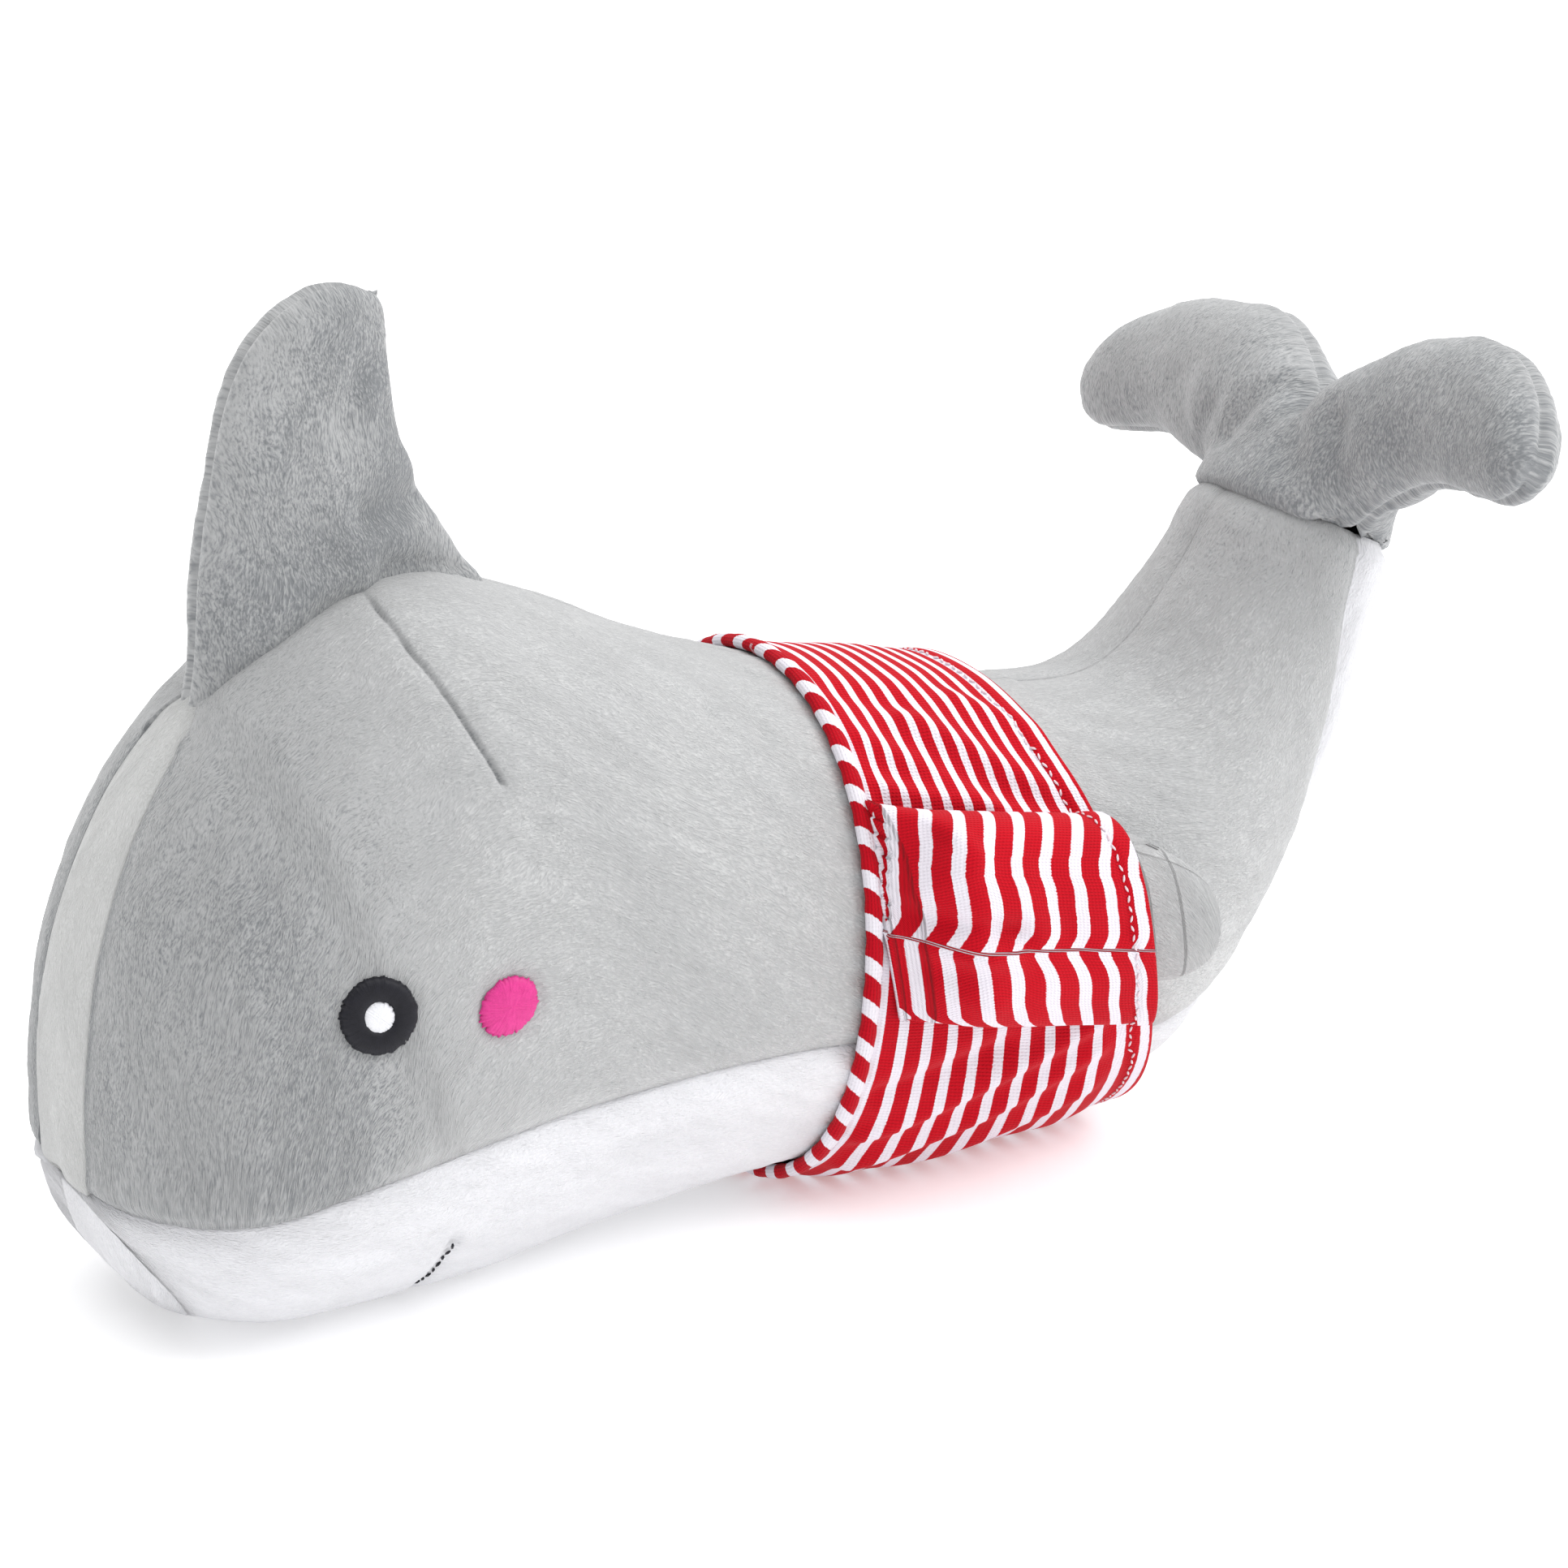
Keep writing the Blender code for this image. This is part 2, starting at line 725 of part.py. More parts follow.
def add_patch(name, skin, side, place, half_length, half_height, tilt, hole, finish):
    """An embroidered oval on one side of the head, with a round hole where hole is set."""
    x, z = on_pattern(*place)
    hit, normal, _, _ = skin.ray_cast(Vector((x, side * 0.3, z)), Vector((0, -side, 0)))
    if normal.y * side < 0:
        normal = -normal
    level = Vector((0, 0, 1)).cross(normal).normalized() * -side
    upright = Vector((0, 0, 1)) - normal * normal.z
    upright.normalize()
    bm = bmesh.new()
    segments = 20
    outer = bmesh.ops.create_circle(bm, cap_ends=hole is None, segments=segments, radius=1.0)
    for vert in outer["verts"]:
        vert.co = Vector((vert.co.x * half_length, vert.co.y * half_height, 0.0))
    rim = [edge for edge in bm.edges]
    if hole is not None:
        inner = bmesh.ops.create_circle(bm, cap_ends=False, segments=segments, radius=hole)
        ring = {edge for vert in inner["verts"] for edge in vert.link_edges}
        bmesh.ops.bridge_loops(bm, edges=rim + list(ring))
    else:
        bmesh.ops.poke(bm, faces=bm.faces)
    for vert in bm.verts:
        a = vert.co.x * math.cos(tilt) - vert.co.y * math.sin(tilt)
        b = vert.co.x * math.sin(tilt) + vert.co.y * math.cos(tilt)
        above = hit + level * a + upright * b + normal * 20 * MM
        foot, slope, _, _ = skin.ray_cast(above, -normal)
        if slope.dot(normal) < 0:
            slope = -slope
        vert.co = foot + slope * TRIM_GAP
    bm.normal_update()
    middle = next(iter(bm.faces)).normal
    if middle.dot(normal) < 0:
        bmesh.ops.reverse_faces(bm, faces=bm.faces)
    top = bmesh.ops.extrude_face_region(bm, geom=list(bm.faces))
    raised = [item for item in top["geom"] if isinstance(item, bmesh.types.BMVert)]
    bmesh.ops.translate(bm, verts=raised, vec=normal * EMBROIDERY_HEIGHT)
    return add_object(name, bm, finish)


def add_face(skin, belly, finishes):
    """The eyes, the cheeks and the smile, embroidered on the head."""
    for name, side in (("left", -1), ("right", 1)):
        eye = EYE_DIAMETER / 2
        light = HIGHLIGHT_DIAMETER / 2
        cheek = (CHEEK_LENGTH / 2, CHEEK_HEIGHT / 2, CHEEK_TILT)
        hole = light + HIGHLIGHT_GAP
        add_patch(
            f"{name}_eye_ring", skin, side, EYE_PLACE, eye, eye, 0, hole, finishes["black_thread"]
        )
        add_patch(
            f"{name}_eye_highlight", skin, side, EYE_PLACE, light, light, 0, None,
            finishes["white_thread"],
        )
        add_patch(
            f"{name}_cheek", skin, side, CHEEK_PLACE, *cheek, None, finishes["pink_thread"]
        )
    shares = np.linspace(-1, 1, 19)
    path = [smile_point(skin, share) for share in shares]
    rod("smile_stitch", path, SMILE_THREAD_DIAMETER, 6, False, finishes["black_thread"])
    groove_path = [smile_point(skin, share * SMILE_GROOVE_OVERRUN) for share in shares]
    groove_diameter = SMILE_THREAD_DIAMETER + 2 * SMILE_GROOVE_CLEARANCE
    groove = as_cutter(rod("smile_groove_cutter", groove_path, groove_diameter, 8, False, None))
    add_boolean(belly, "DIFFERENCE", groove)


def smile_point(skin, share):
    """A point of the smile, sunk into the plush, from -1 on the right to 1 on the left."""
    spread = abs(share) ** 1.5
    place = SMILE_MIDDLE_SECTION + (SMILE_END_SECTION - SMILE_MIDDLE_SECTION) * spread
    angle = math.pi - (math.pi - SMILE_END_ANGLE) * share
    on_skin, normal, _, _ = skin.find_nearest(section_at(place).point(angle))
    if normal.z > 0:
        normal = -normal
    return on_skin - normal * SMILE_DEPTH


# ---------------------------------------------------------------- shirt


def shirt_section(place):
    """The shirt's outer surface: loose around the body, and resting on the floor."""
    section = section_at(place)
    share = (place - COLLAR) / (HEM - COLLAR)
    ease = COLLAR_EASE + (HEM_EASE - COLLAR_EASE) * share + KNIT_THICKNESS
    lift = (FLOOR_PRESS + HEM_LIFT) * smooth_step((share - 0.75) / 0.25)
    to_floor = section.ventral[1] / section.up()[1] + FLOOR_PRESS - lift
    settle = smooth_step(share / 0.3)
    return section.grown(ease, ease, ease + (to_floor - ease) * settle)


def shoulder():
    """The front end of the left sleeve's middle line, before it is mirrored."""
    x, z = section_at(COLLAR).middle()
    widest = max(shirt_section(COLLAR).half_width, shirt_section(HEM).half_width)
    half_sleeve = FLIPPER_THICKNESS / 2 + SLEEVE_CLEARANCE + KNIT_THICKNESS
    y = -(widest + TRIM_GAP + half_sleeve)
    return Vector((x + SLEEVE_START, y, z + SHOULDER_ABOVE_MIDDLE)), half_sleeve


def sleeve_ring(share, half_sleeve, grow, sides):
    """A flattened ring of the left sleeve at a share of its length, thin at its front."""
    start, _ = shoulder()
    thin = half_sleeve * SLEEVE_FRONT_THINNING * (1 - smooth_step(share / 0.3))
    back = Vector((SLEEVE_LENGTH, -SLEEVE_SPLAY, -SLEEVE_DROOP))
    middle = start + back * share + Vector((0, thin, 0))
    half_thickness = half_sleeve - thin + grow
    half_width = SLEEVE_WIDTH / 2 + grow
    points = []
    for k in range(sides):
        turn = 2 * math.pi * k / sides
        flat = math.copysign(abs(math.cos(turn)) ** 0.8, math.cos(turn))
        tall = math.copysign(abs(math.sin(turn)) ** 0.8, math.sin(turn))
        lean = SLEEVE_DROOP / SLEEVE_LENGTH * tall * half_width
        points.append(middle + Vector((-lean, flat * half_thickness, tall * half_width)))
    return points


def armhole_cutter(name, front, low_y, high_y):
    """A cutter for the flipper's way out, from front behind the sleeve's front edge.

    It slants down towards the tail as the sleeve does.
    """
    start, _ = shoulder()
    reach = FLIPPER_WIDTH / 2
    rear = ARMHOLE_SETBACK + ARMHOLE_LENGTH
    droop = SLEEVE_DROOP / SLEEVE_LENGTH
    edges = ((front, -reach), (rear, -reach), (rear, reach), (front, reach))
    outline = [(start.x + along, start.z + across - droop * along) for along, across in edges]
    return prism(name, outline, "Y", low_y, high_y)


def mirrored(points):
    return [Vector((point.x, -point.y, point.z)) for point in points]


def flipper_pad(side):
    """A flipper: its root lies on the torso, and it runs back inside the sleeve."""
    start, _ = shoulder()
    root_x = start.x + FLIPPER_ROOT_SETBACK
    root_y = section_at(COLLAR).half_width + FLIPPER_GAP
    splay = SLEEVE_SPLAY / SLEEVE_LENGTH
    droop = SLEEVE_DROOP / SLEEVE_LENGTH

    def place(a, b, height):
        turned_out = smooth_step(a / FLIPPER_BEND_LENGTH)
        sleeve_y = -start.y + splay * a
        y = root_y + (sleeve_y - root_y) * turned_out + height
        z = start.z - droop * (a + FLIPPER_ROOT_SETBACK) + b
        return Vector((root_x + a - droop * b, side * y, z))

    def edge(column):
        return [
            np.array([rung[0] * FLIPPER_LENGTH, rung[column] * FLIPPER_WIDTH])
            for rung in FLIPPER_RUNGS
        ]

    return Pad(
        low=edge(1),
        high=edge(2),
        start_bow=no_bow,
        end_bow=lambda across: np.array([0.05 * FLIPPER_LENGTH, 0.0]) * math.sin(math.pi * across),
        thickness=lambda across, along: FLIPPER_THICKNESS,
        fullness=lambda across, along: quarter_round(across, 0.5)
        * quarter_round(1 - across, 0.5)
        * wedge(along, 0.4)
        * quarter_round(1 - along, 0.3),
        place=place,
        cover=FLIPPER_COVER,
        across=6,
        along=7,
    )


def add_shirt_body(finishes):
    """The knitted tube around the middle, with its bound collar and stitched hem."""
    bm = bmesh.new()
    stops = np.linspace(SHIRT_START, HEM, 7)
    loft(bm, [ring_points(shirt_section(stop), 32) for stop in stops])
    shirt = add_object("shirt_body", bm, finishes["striped_knit"])
    add_wall(shirt, KNIT_THICKNESS)
    for side_name, low_y, high_y in (("left", -0.1, -0.02), ("right", 0.02, 0.1)):
        armhole = armhole_cutter(f"{side_name}_armhole_cutter", ARMHOLE_SETBACK, low_y, high_y)
        add_boolean(shirt, "DIFFERENCE", armhole)
    radius = BINDING_DIAMETER / 2
    around = section_at(COLLAR).grown(*[radius + TRIM_GAP] * 3)
    rod("neck_binding", ring_points(around, 32), BINDING_DIAMETER, 6, True, finishes["striped_knit"])
    out = TRIM_GAP + THREAD_DIAMETER / 2
    path = []
    for k in range(32):
        turn = 2 * math.pi * k / 32
        hem_point = shirt_section(HEM).point(turn)
        pitch = (hem_point - shirt_section(HEM - 1).point(turn)).length
        path.append(shirt_section(HEM - HEM_ALLOWANCE / pitch).grown(out, out, out).point(turn))
    rod("shirt_hem_thread", path, THREAD_DIAMETER, 4, True, finishes["hem_thread"])


def add_flipper(side_name, side, finishes):
    """One flipper with its covers, filling, sleeve and hem thread; returns its pieces."""
    _, half_sleeve = shoulder()
    pad = flipper_pad(side)
    pieces = [
        pad.add_cover(f"{side_name}_flipper_outer_cover", 1, finishes["grey_plush"]),
        pad.add_cover(f"{side_name}_flipper_inner_cover", -1, finishes["grey_plush"]),
        pad.add_stuffing(f"{side_name}_flipper_stuffing", finishes["stuffing"]),
    ]
    rings = [sleeve_ring(share, half_sleeve, 0.0, 20) for share in np.linspace(0, 1, 5)]
    out = TRIM_GAP + THREAD_DIAMETER / 2
    thread = sleeve_ring(1 - HEM_ALLOWANCE / SLEEVE_LENGTH, half_sleeve, out, 20)
    if side > 0:
        rings = [mirrored(ring) for ring in rings]
        thread = mirrored(thread)
    bm = bmesh.new()
    loft(bm, rings)
    sleeve = add_object(f"{side_name}_sleeve", bm, finishes["striped_knit"])
    add_wall(sleeve, KNIT_THICKNESS)
    start, _ = shoulder()
    inner_y, outer_y = sorted((side * 0.02, side * -start.y))
    opening = armhole_cutter(f"{side_name}_sleeve_opening_cutter", -SLEEVE_LENGTH, inner_y, outer_y)
    add_boolean(sleeve, "DIFFERENCE", opening)
    pieces.append(sleeve)
    name = f"{side_name}_sleeve_hem_thread"
    pieces.append(rod(name, thread, THREAD_DIAMETER, 4, True, finishes["hem_thread"]))
    return pieces


# ---------------------------------------------------------------- joints


def add_hinge(name, place, pieces, parent=None):
    """An empty on a joint's axis that carries the pieces of its moving body."""
    hinge = bpy.data.objects.new(name, None)
    bpy.context.collection.objects.link(hinge)
    hinge.empty_display_size = 0.02
    offset = parent.matrix_world.translation if parent else Vector()
    hinge.location = place - offset
    hinge.parent = parent
    bpy.context.view_layer.update()
    for piece in pieces:
        piece.parent = hinge
        piece.matrix_parent_inverse = hinge.matrix_world.inverted()
    return hinge


def main():
    for obj in list(bpy.data.objects):
        bpy.data.objects.remove(obj)
    finishes = {
        "grey_plush": material("grey_plush", (0.47, 0.48, 0.48), 0.95),
        "white_plush": material("white_plush", (0.92, 0.92, 0.95), 0.95),
        "stuffing": material("stuffing", (0.90, 0.89, 0.86), 1.0),
        "striped_knit": material("striped_knit", (0.62, 0.02, 0.03), 0.85),
        "hem_thread": material("hem_thread", (0.88, 0.80, 0.85), 0.7),
        "black_thread": material("black_thread", (0.008, 0.008, 0.012), 0.5),
        "white_thread": material("white_thread", (0.92, 0.92, 0.95), 0.5),
        "pink_thread": material("pink_thread", (0.88, 0.03, 0.22), 0.5),
    }
    panels = add_body_panels(finishes)
    tail_stuffing = add_stuffing(finishes)
    add_face(skin_tree(), panels["belly_panel"], finishes)
    add_shirt_body(finishes)

    fin = dorsal_fin_pad()
    fin_pieces = [
        fin.add_cover("dorsal_fin_left_cover", 1, finishes["grey_plush"]),
        fin.add_cover("dorsal_fin_right_cover", -1, finishes["grey_plush"]),
        fin.add_stuffing("dorsal_fin_stuffing", finishes["stuffing"]),
    ]
    fin_foot = section_at(FIN_FRONT_SECTION).dorsal
    add_hinge("dorsal_fin_hinge", Vector((fin_foot[0], 0.0, fin_foot[1])), fin_pieces)

    tail_pieces = [panels[f"tail_{name}_panel"] for name in ("left", "right", "belly")]
    tail_hinge = add_hinge("tail_hinge", tail_pivot(), tail_pieces + [tail_stuffing])

    fluke = fluke_pad()
    fluke_pieces = [
        fluke.add_cover("fluke_front_cover", 1, finishes["grey_plush"]),
        fluke.add_cover("fluke_back_cover", -1, finishes["grey_plush"]),
        fluke.add_stuffing("fluke_stuffing", finishes["stuffing"]),
    ]
    seam = section_at(LAST_SECTION).middle()
    add_hinge("fluke_hinge", Vector((seam[0], 0.0, seam[1])), fluke_pieces, tail_hinge)

    start, half_sleeve = shoulder()
    for name, side in (("left", -1), ("right", 1)):
        pieces = add_flipper(name, side, finishes)
        axis_place = Vector((start.x, side * -(start.y + half_sleeve), start.z))
        add_hinge(f"{name}_flipper_hinge", axis_place, pieces)


main()
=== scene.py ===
"""The looks of a plush shark in a striped knitted shirt.

Everything is in metres in the model's own frame: +Z is up, the head points along -X and
the shark's left side faces -Y. Each class below makes one sub-assembly: the plush skin
of the body, the padded fin and fluke, the embroidered face, the shirt and its sleeves,
the flippers, and the studio around them.
"""

from __future__ import annotations

import logging
import math
from dataclasses import dataclass
from enum import Enum
from typing import Sequence

import bmesh
import bpy
import numpy as np
from mathutils import Matrix, Vector, noise
from mathutils.bvhtree import BVHTree


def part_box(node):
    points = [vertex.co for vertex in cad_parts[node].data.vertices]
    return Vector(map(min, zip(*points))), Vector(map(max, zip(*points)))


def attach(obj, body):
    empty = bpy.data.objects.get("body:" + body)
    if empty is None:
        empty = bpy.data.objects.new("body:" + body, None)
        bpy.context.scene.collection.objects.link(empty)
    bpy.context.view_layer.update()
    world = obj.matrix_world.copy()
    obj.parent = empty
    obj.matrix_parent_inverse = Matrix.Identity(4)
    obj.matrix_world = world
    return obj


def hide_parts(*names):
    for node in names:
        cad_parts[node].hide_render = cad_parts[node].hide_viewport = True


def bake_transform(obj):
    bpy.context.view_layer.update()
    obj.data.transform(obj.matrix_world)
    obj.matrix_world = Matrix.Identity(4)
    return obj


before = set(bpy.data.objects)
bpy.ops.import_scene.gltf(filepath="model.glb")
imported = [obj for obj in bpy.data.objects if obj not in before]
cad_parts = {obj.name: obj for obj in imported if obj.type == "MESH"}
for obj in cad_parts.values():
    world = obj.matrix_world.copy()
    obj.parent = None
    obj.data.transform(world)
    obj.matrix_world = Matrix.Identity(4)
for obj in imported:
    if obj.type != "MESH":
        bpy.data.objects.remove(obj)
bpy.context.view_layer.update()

LOG = logging.getLogger("plush_shark")
MM = 0.001
Colour = tuple[float, float, float]

# Overall sizes of the stuffed body, and the floor's height above which all cloth stays
BODY_LENGTH = 284 * MM
BODY_WIDTH = 97 * MM
BODY_HEIGHT = 130 * MM
NOSE_X = -144.1 * MM
FLOOR_CLEARANCE = 0.15 * MM

# Sections of the body from the chin to the fluke seam, in millimetres of the paper
# pattern: dorsal x and z, ventral x and z, half width, height of the widest point
PATTERN_SECTIONS = np.array(
    [
        (-140.0, 11.5, -140.0, 11.5, 0.0, 0.50),
        (-145.0, 20.0, -134.0, 4.0, 16.0, 0.50),
        (-147.0, 34.0, -126.0, 1.0, 27.0, 0.46),
        (-146.0, 53.5, -115.0, -1.8, 36.5, 0.44),
        (-141.0, 75.5, -102.0, -1.8, 43.5, 0.43),
        (-129.0, 99.0, -88.0, -1.8, 47.5, 0.44),
        (-109.0, 118.5, -73.0, -1.6, 48.5, 0.45),
        (-84.0, 130.0, -57.0, 0.2, 48.0, 0.46),
        (-57.0, 122.0, -41.0, 2.0, 46.5, 0.48),
        (-31.0, 110.5, -26.0, 3.2, 45.0, 0.49),
        (-6.0, 101.5, -12.0, 3.8, 43.5, 0.50),
        (16.0, 96.5, 15.0, 3.2, 43.0, 0.50),
        (38.0, 91.0, 62.0, 4.8, 42.0, 0.49),
        (56.0, 88.0, 82.0, 17.5, 39.0, 0.48),
        (69.0, 88.5, 100.0, 36.5, 33.5, 0.48),
        (78.5, 93.5, 114.0, 56.0, 28.0, 0.48),
        (86.5, 102.0, 124.0, 74.5, 24.5, 0.48),
        (94.0, 111.5, 131.0, 91.0, 21.5, 0.49),
        (101.0, 121.5, 136.0, 105.5, 20.5, 0.50),
    ]
)
SECTION_SQUARENESS = 2.12

# Seam between the grey side panels and the white belly panel, in pattern x and z
BELLY_SEAM = np.array(
    [
        (-160.0, 30.5),
        (-140.0, 28.5),
        (-125.0, 29.5),
        (-108.0, 34.5),
        (-80.0, 39.0),
        (-55.0, 40.5),
        (-20.0, 40.0),
        (20.0, 34.0),
        (50.0, 27.0),
        (70.0, 25.0),
        (83.0, 29.0),
        (94.0, 40.0),
        (104.0, 54.0),
        (110.0, 70.0),
        (115.0, 88.0),
        (119.0, 108.0),
        (122.0, 126.0),
        (140.0, 300.0),
    ]
)

# Outlines of the fin and the fluke, as rungs from the base outwards
FIN_RUNGS = (
    ((0.00, 0.00), (1.00, 0.00)),
    ((0.045, 0.16), (0.89, 0.17)),
    ((0.07, 0.36), (0.785, 0.34)),
    ((0.105, 0.55), (0.705, 0.54)),
    ((0.16, 0.76), (0.675, 0.72)),
    ((0.235, 0.91), (0.675, 0.87)),
    ((0.33, 0.985), (0.655, 0.945)),
)
FLUKE_RUNGS = (
    (0.00, 0.00, 0.50),
    (0.08, 0.00, 0.66),
    (0.20, 0.02, 0.85),
    (0.34, 0.07, 0.98),
    (0.45, 0.18, 1.00),
    (0.61, 0.27, 1.00),
    (0.78, 0.26, 0.91),
    (0.90, 0.25, 0.76),
    (0.97, 0.32, 0.58),
)

# Sewing of the hems: the distance between stitches, the thread and the lean of a stitch
HEM_PITCH = 2.0 * MM
HEM_THREAD_DIAMETER = 0.5 * MM
HEM_STITCH_LEAN = 0.3

# Where the body is divided, as places along the row of sections
FIN_FRONT = 5.4
FIN_REAR = 7.85
COLLAR = 10.0
HEM = 12.0
TAIL_END = float(len(PATTERN_SECTIONS) - 1)


# ------------------------------------------------------------------ small mathematics


def catmull_rom(points: Sequence, place: float) -> np.ndarray:
    """The point at a place along a smooth curve through every given point.

    Args:
        points: the points that the curve runs through.
        place: how many points along it is, so 1.5 is halfway from the second to the third.

    Returns:
        The point, with as many coordinates as the given ones.
    """
    points = np.asarray(points, float)
    last = len(points) - 1
    place = min(max(place, 0.0), last - 1e-9)
    first = int(place)
    step = place - first
    before, here, after, beyond = (points[min(max(first + k, 0), last)] for k in (-1, 0, 1, 2))
    line = (after - before) * step
    square = (2 * before - 5 * here + 4 * after - beyond) * step**2
    cube = (3 * here - before - 3 * after + beyond) * step**3
    return here + (line + square + cube) / 2


def smooth(share: np.ndarray) -> np.ndarray:
    """An S curve from 0 to 1 as the share goes from 0 to 1."""
    inside = np.clip(share, 0.0, 1.0)
    return inside * inside * (3 - 2 * inside)


def signed_power(value: float, power: float) -> float:
    """A value from -1 to 1 raised to a power, with its sign kept."""
    return math.copysign(abs(value) ** power, value)


def rounded(share: np.ndarray, reach: float) -> np.ndarray:
    """Rises like a quarter circle from 0 at the edge to 1 at the reach and beyond."""
    inside = np.clip(share / reach, 0.0, 1.0)
    return np.sqrt(inside * (2 - inside))


def bell(distance: np.ndarray, width: float) -> np.ndarray:
    """A smooth hump of height 1 that fades out over about twice its width."""
    return np.exp(-((distance / width) ** 2))


def lumps(points: np.ndarray, size: float, seed: float) -> np.ndarray:
    """Smooth noise over points in space.

    Args:
        points: an array of points, whose last axis is x, y, z.
        size: about how wide one lump is, in metres.
        seed: where in the noise to look.

    Returns:
        Values from about -1 to 1, one for each point.
    """
    flat = points.reshape(-1, 3) / size + seed
    values = [noise.noise(Vector(point)) for point in flat.tolist()]
    return np.array(values).reshape(points.shape[:-1])


def distance_to_path(points: np.ndarray, path: np.ndarray) -> np.ndarray:
    """How far each point is from a path.

    Args:
        points: an array of points, whose last axis holds their coordinates.
        path: the path's corners, in the same coordinates.

    Returns:
        The shortest distance from each point to any stretch of the path.
    """
    best = np.full(points.shape[:-1], np.inf)
    for start, end in zip(path[:-1], path[1:]):
        run = end - start
        share = np.clip(((points - start) @ run) / max(float(run @ run), 1e-12), 0, 1)
        foot = start + share[..., None] * run
        best = np.minimum(best, np.linalg.norm(points - foot, axis=-1))
    return best


# ------------------------------------------------------------------ shader expressions


class Signal:
    """One socket of a material's nodes, so that shader maths reads as Python."""

    def __init__(self, paint: Paint, socket: bpy.types.NodeSocket) -> None:
        """Wraps an output socket of the paint's node tree."""
        self.paint = paint
        self.socket = socket

    def math(self, operation: str, *operands: Signal | float) -> Signal:
        """The result of a Math node on the operands."""
        return self.paint.node("ShaderNodeMath", {"operation": operation}, operands)

    def __add__(self, other: Signal | float) -> Signal:
        """Self plus other."""
        return self.math("ADD", self, other)

    def __radd__(self, other: float) -> Signal:
        """Other plus self."""
        return self.math("ADD", other, self)

    def __sub__(self, other: Signal | float) -> Signal:
        """Self minus other."""
        return self.math("SUBTRACT", self, other)

    def __rsub__(self, other: float) -> Signal:
        """Other minus self."""
        return self.math("SUBTRACT", other, self)

    def __mul__(self, other: Signal | float) -> Signal:
        """Self times other."""
        return self.math("MULTIPLY", self, other)

    def __rmul__(self, other: float) -> Signal:
        """Other times self."""
        return self.math("MULTIPLY", other, self)

    def sine(self) -> Signal:
        """The sine of self."""
        return self.math("SINE", self)

    def size(self) -> Signal:
        """Self without its sign."""
        return self.math("ABSOLUTE", self)

    def ping_pong(self, scale: float) -> Signal:
        """Self folded back and forth between 0 and the scale."""
        return self.math("PINGPONG", self, scale)

    def step(self, low: float, high: float) -> Signal:
        """A smooth step from 0 at low to 1 at high."""
        settings = {"interpolation_type": "SMOOTHSTEP"}
        return self.paint.node("ShaderNodeMapRange", settings, (self, low, high, 0.0, 1.0))


class Paint:
    """One material and the nodes that colour it."""

    def __init__(self, name: str) -> None:
        """Starts a material with a Principled shader."""
        self.material = bpy.data.materials.new(name)
        self.material.use_nodes = True
        self.tree = self.material.node_tree
        self.shader = self.tree.nodes["Principled BSDF"]

    def node(
        self,
        kind: str,
        settings: dict | None = None,
        values: Sequence | dict = (),
        output: int = 0,
    ) -> Signal:
        """Adds a node.

        Args:
            kind: the node's type.
            settings: properties that are set before its sockets.
            values: numbers or signals for its sockets, in order or by name.
            output: which output to return.

        Returns:
            The signal of that output.
        """
        made = self.tree.nodes.new(kind)
        for name, value in (settings or {}).items():
            setattr(made, name, value)
        pairs = values.items() if isinstance(values, dict) else enumerate(values)
        for key, value in pairs:
            if isinstance(value, Signal):
                self.tree.links.new(value.socket, made.inputs[key])
            else:
                made.inputs[key].default_value = value
        return Signal(self, made.outputs[output])

    def cloth_place(self) -> Signal:
        """The place on the cloth's own pattern, in millimetres."""
        return self.node("ShaderNodeUVMap", {"uv_map": "cloth"})

    def mark(self) -> Signal:
        """The number that the mesh carries at each point."""
        settings = {"attribute_type": "GEOMETRY", "attribute_name": "mark"}
        return self.node("ShaderNodeAttribute", settings, {}, output=2)

    def stretched(self, place: Signal, along: float, across: float) -> Signal:
        """A place with its first two coordinates multiplied."""
        return self.node("ShaderNodeMapping", {}, {"Vector": place, "Scale": (along, across, 1.0)})

    def split(self, place: Signal) -> tuple[Signal, Signal]:
        """The first two coordinates of a place."""
        parts = [self.node("ShaderNodeSeparateXYZ", {}, (place,), output=k) for k in (0, 1)]
        return parts[0], parts[1]

    def grain(self, place: Signal, scale: float, detail: float = 2.0, warp: float = 0.0) -> Signal:
        """Noise from 0 to 1 at a place."""
        sockets = {"Vector": place, "Scale": scale, "Detail": detail, "Distortion": warp}
        return self.node("ShaderNodeTexNoise", {}, sockets)

    def mix(self, share: Signal | float, low: Signal | Colour, high: Signal | Colour) -> Signal:
        """A colour between low and high."""
        sockets = {0: share}
        for key, value in ((6, low), (7, high)):
            sockets[key] = value if isinstance(value, Signal) else (*value, 1.0)
        settings = {"data_type": "RGBA", "clamp_factor": True}
        return self.node("ShaderNodeMix", settings, sockets, output=2)

    def finish(self, constants: dict, colour: Signal, height: Signal, depth: float) -> None:
        """Sets the shader.

        Args:
            constants: values of the shader's own sockets by name.
            colour: the base colour.
            height: the relief, from 0 to 1.
            depth: how deep the relief is, in metres.
        """
        for name, value in constants.items():
            self.shader.inputs[name].default_value = value
        self.tree.links.new(colour.socket, self.shader.inputs["Base Color"])
        sockets = {"Strength": 1.0, "Distance": depth, "Height": height}
        relief = self.node("ShaderNodeBump", {}, sockets)
        self.tree.links.new(relief.socket, self.shader.inputs["Normal"])


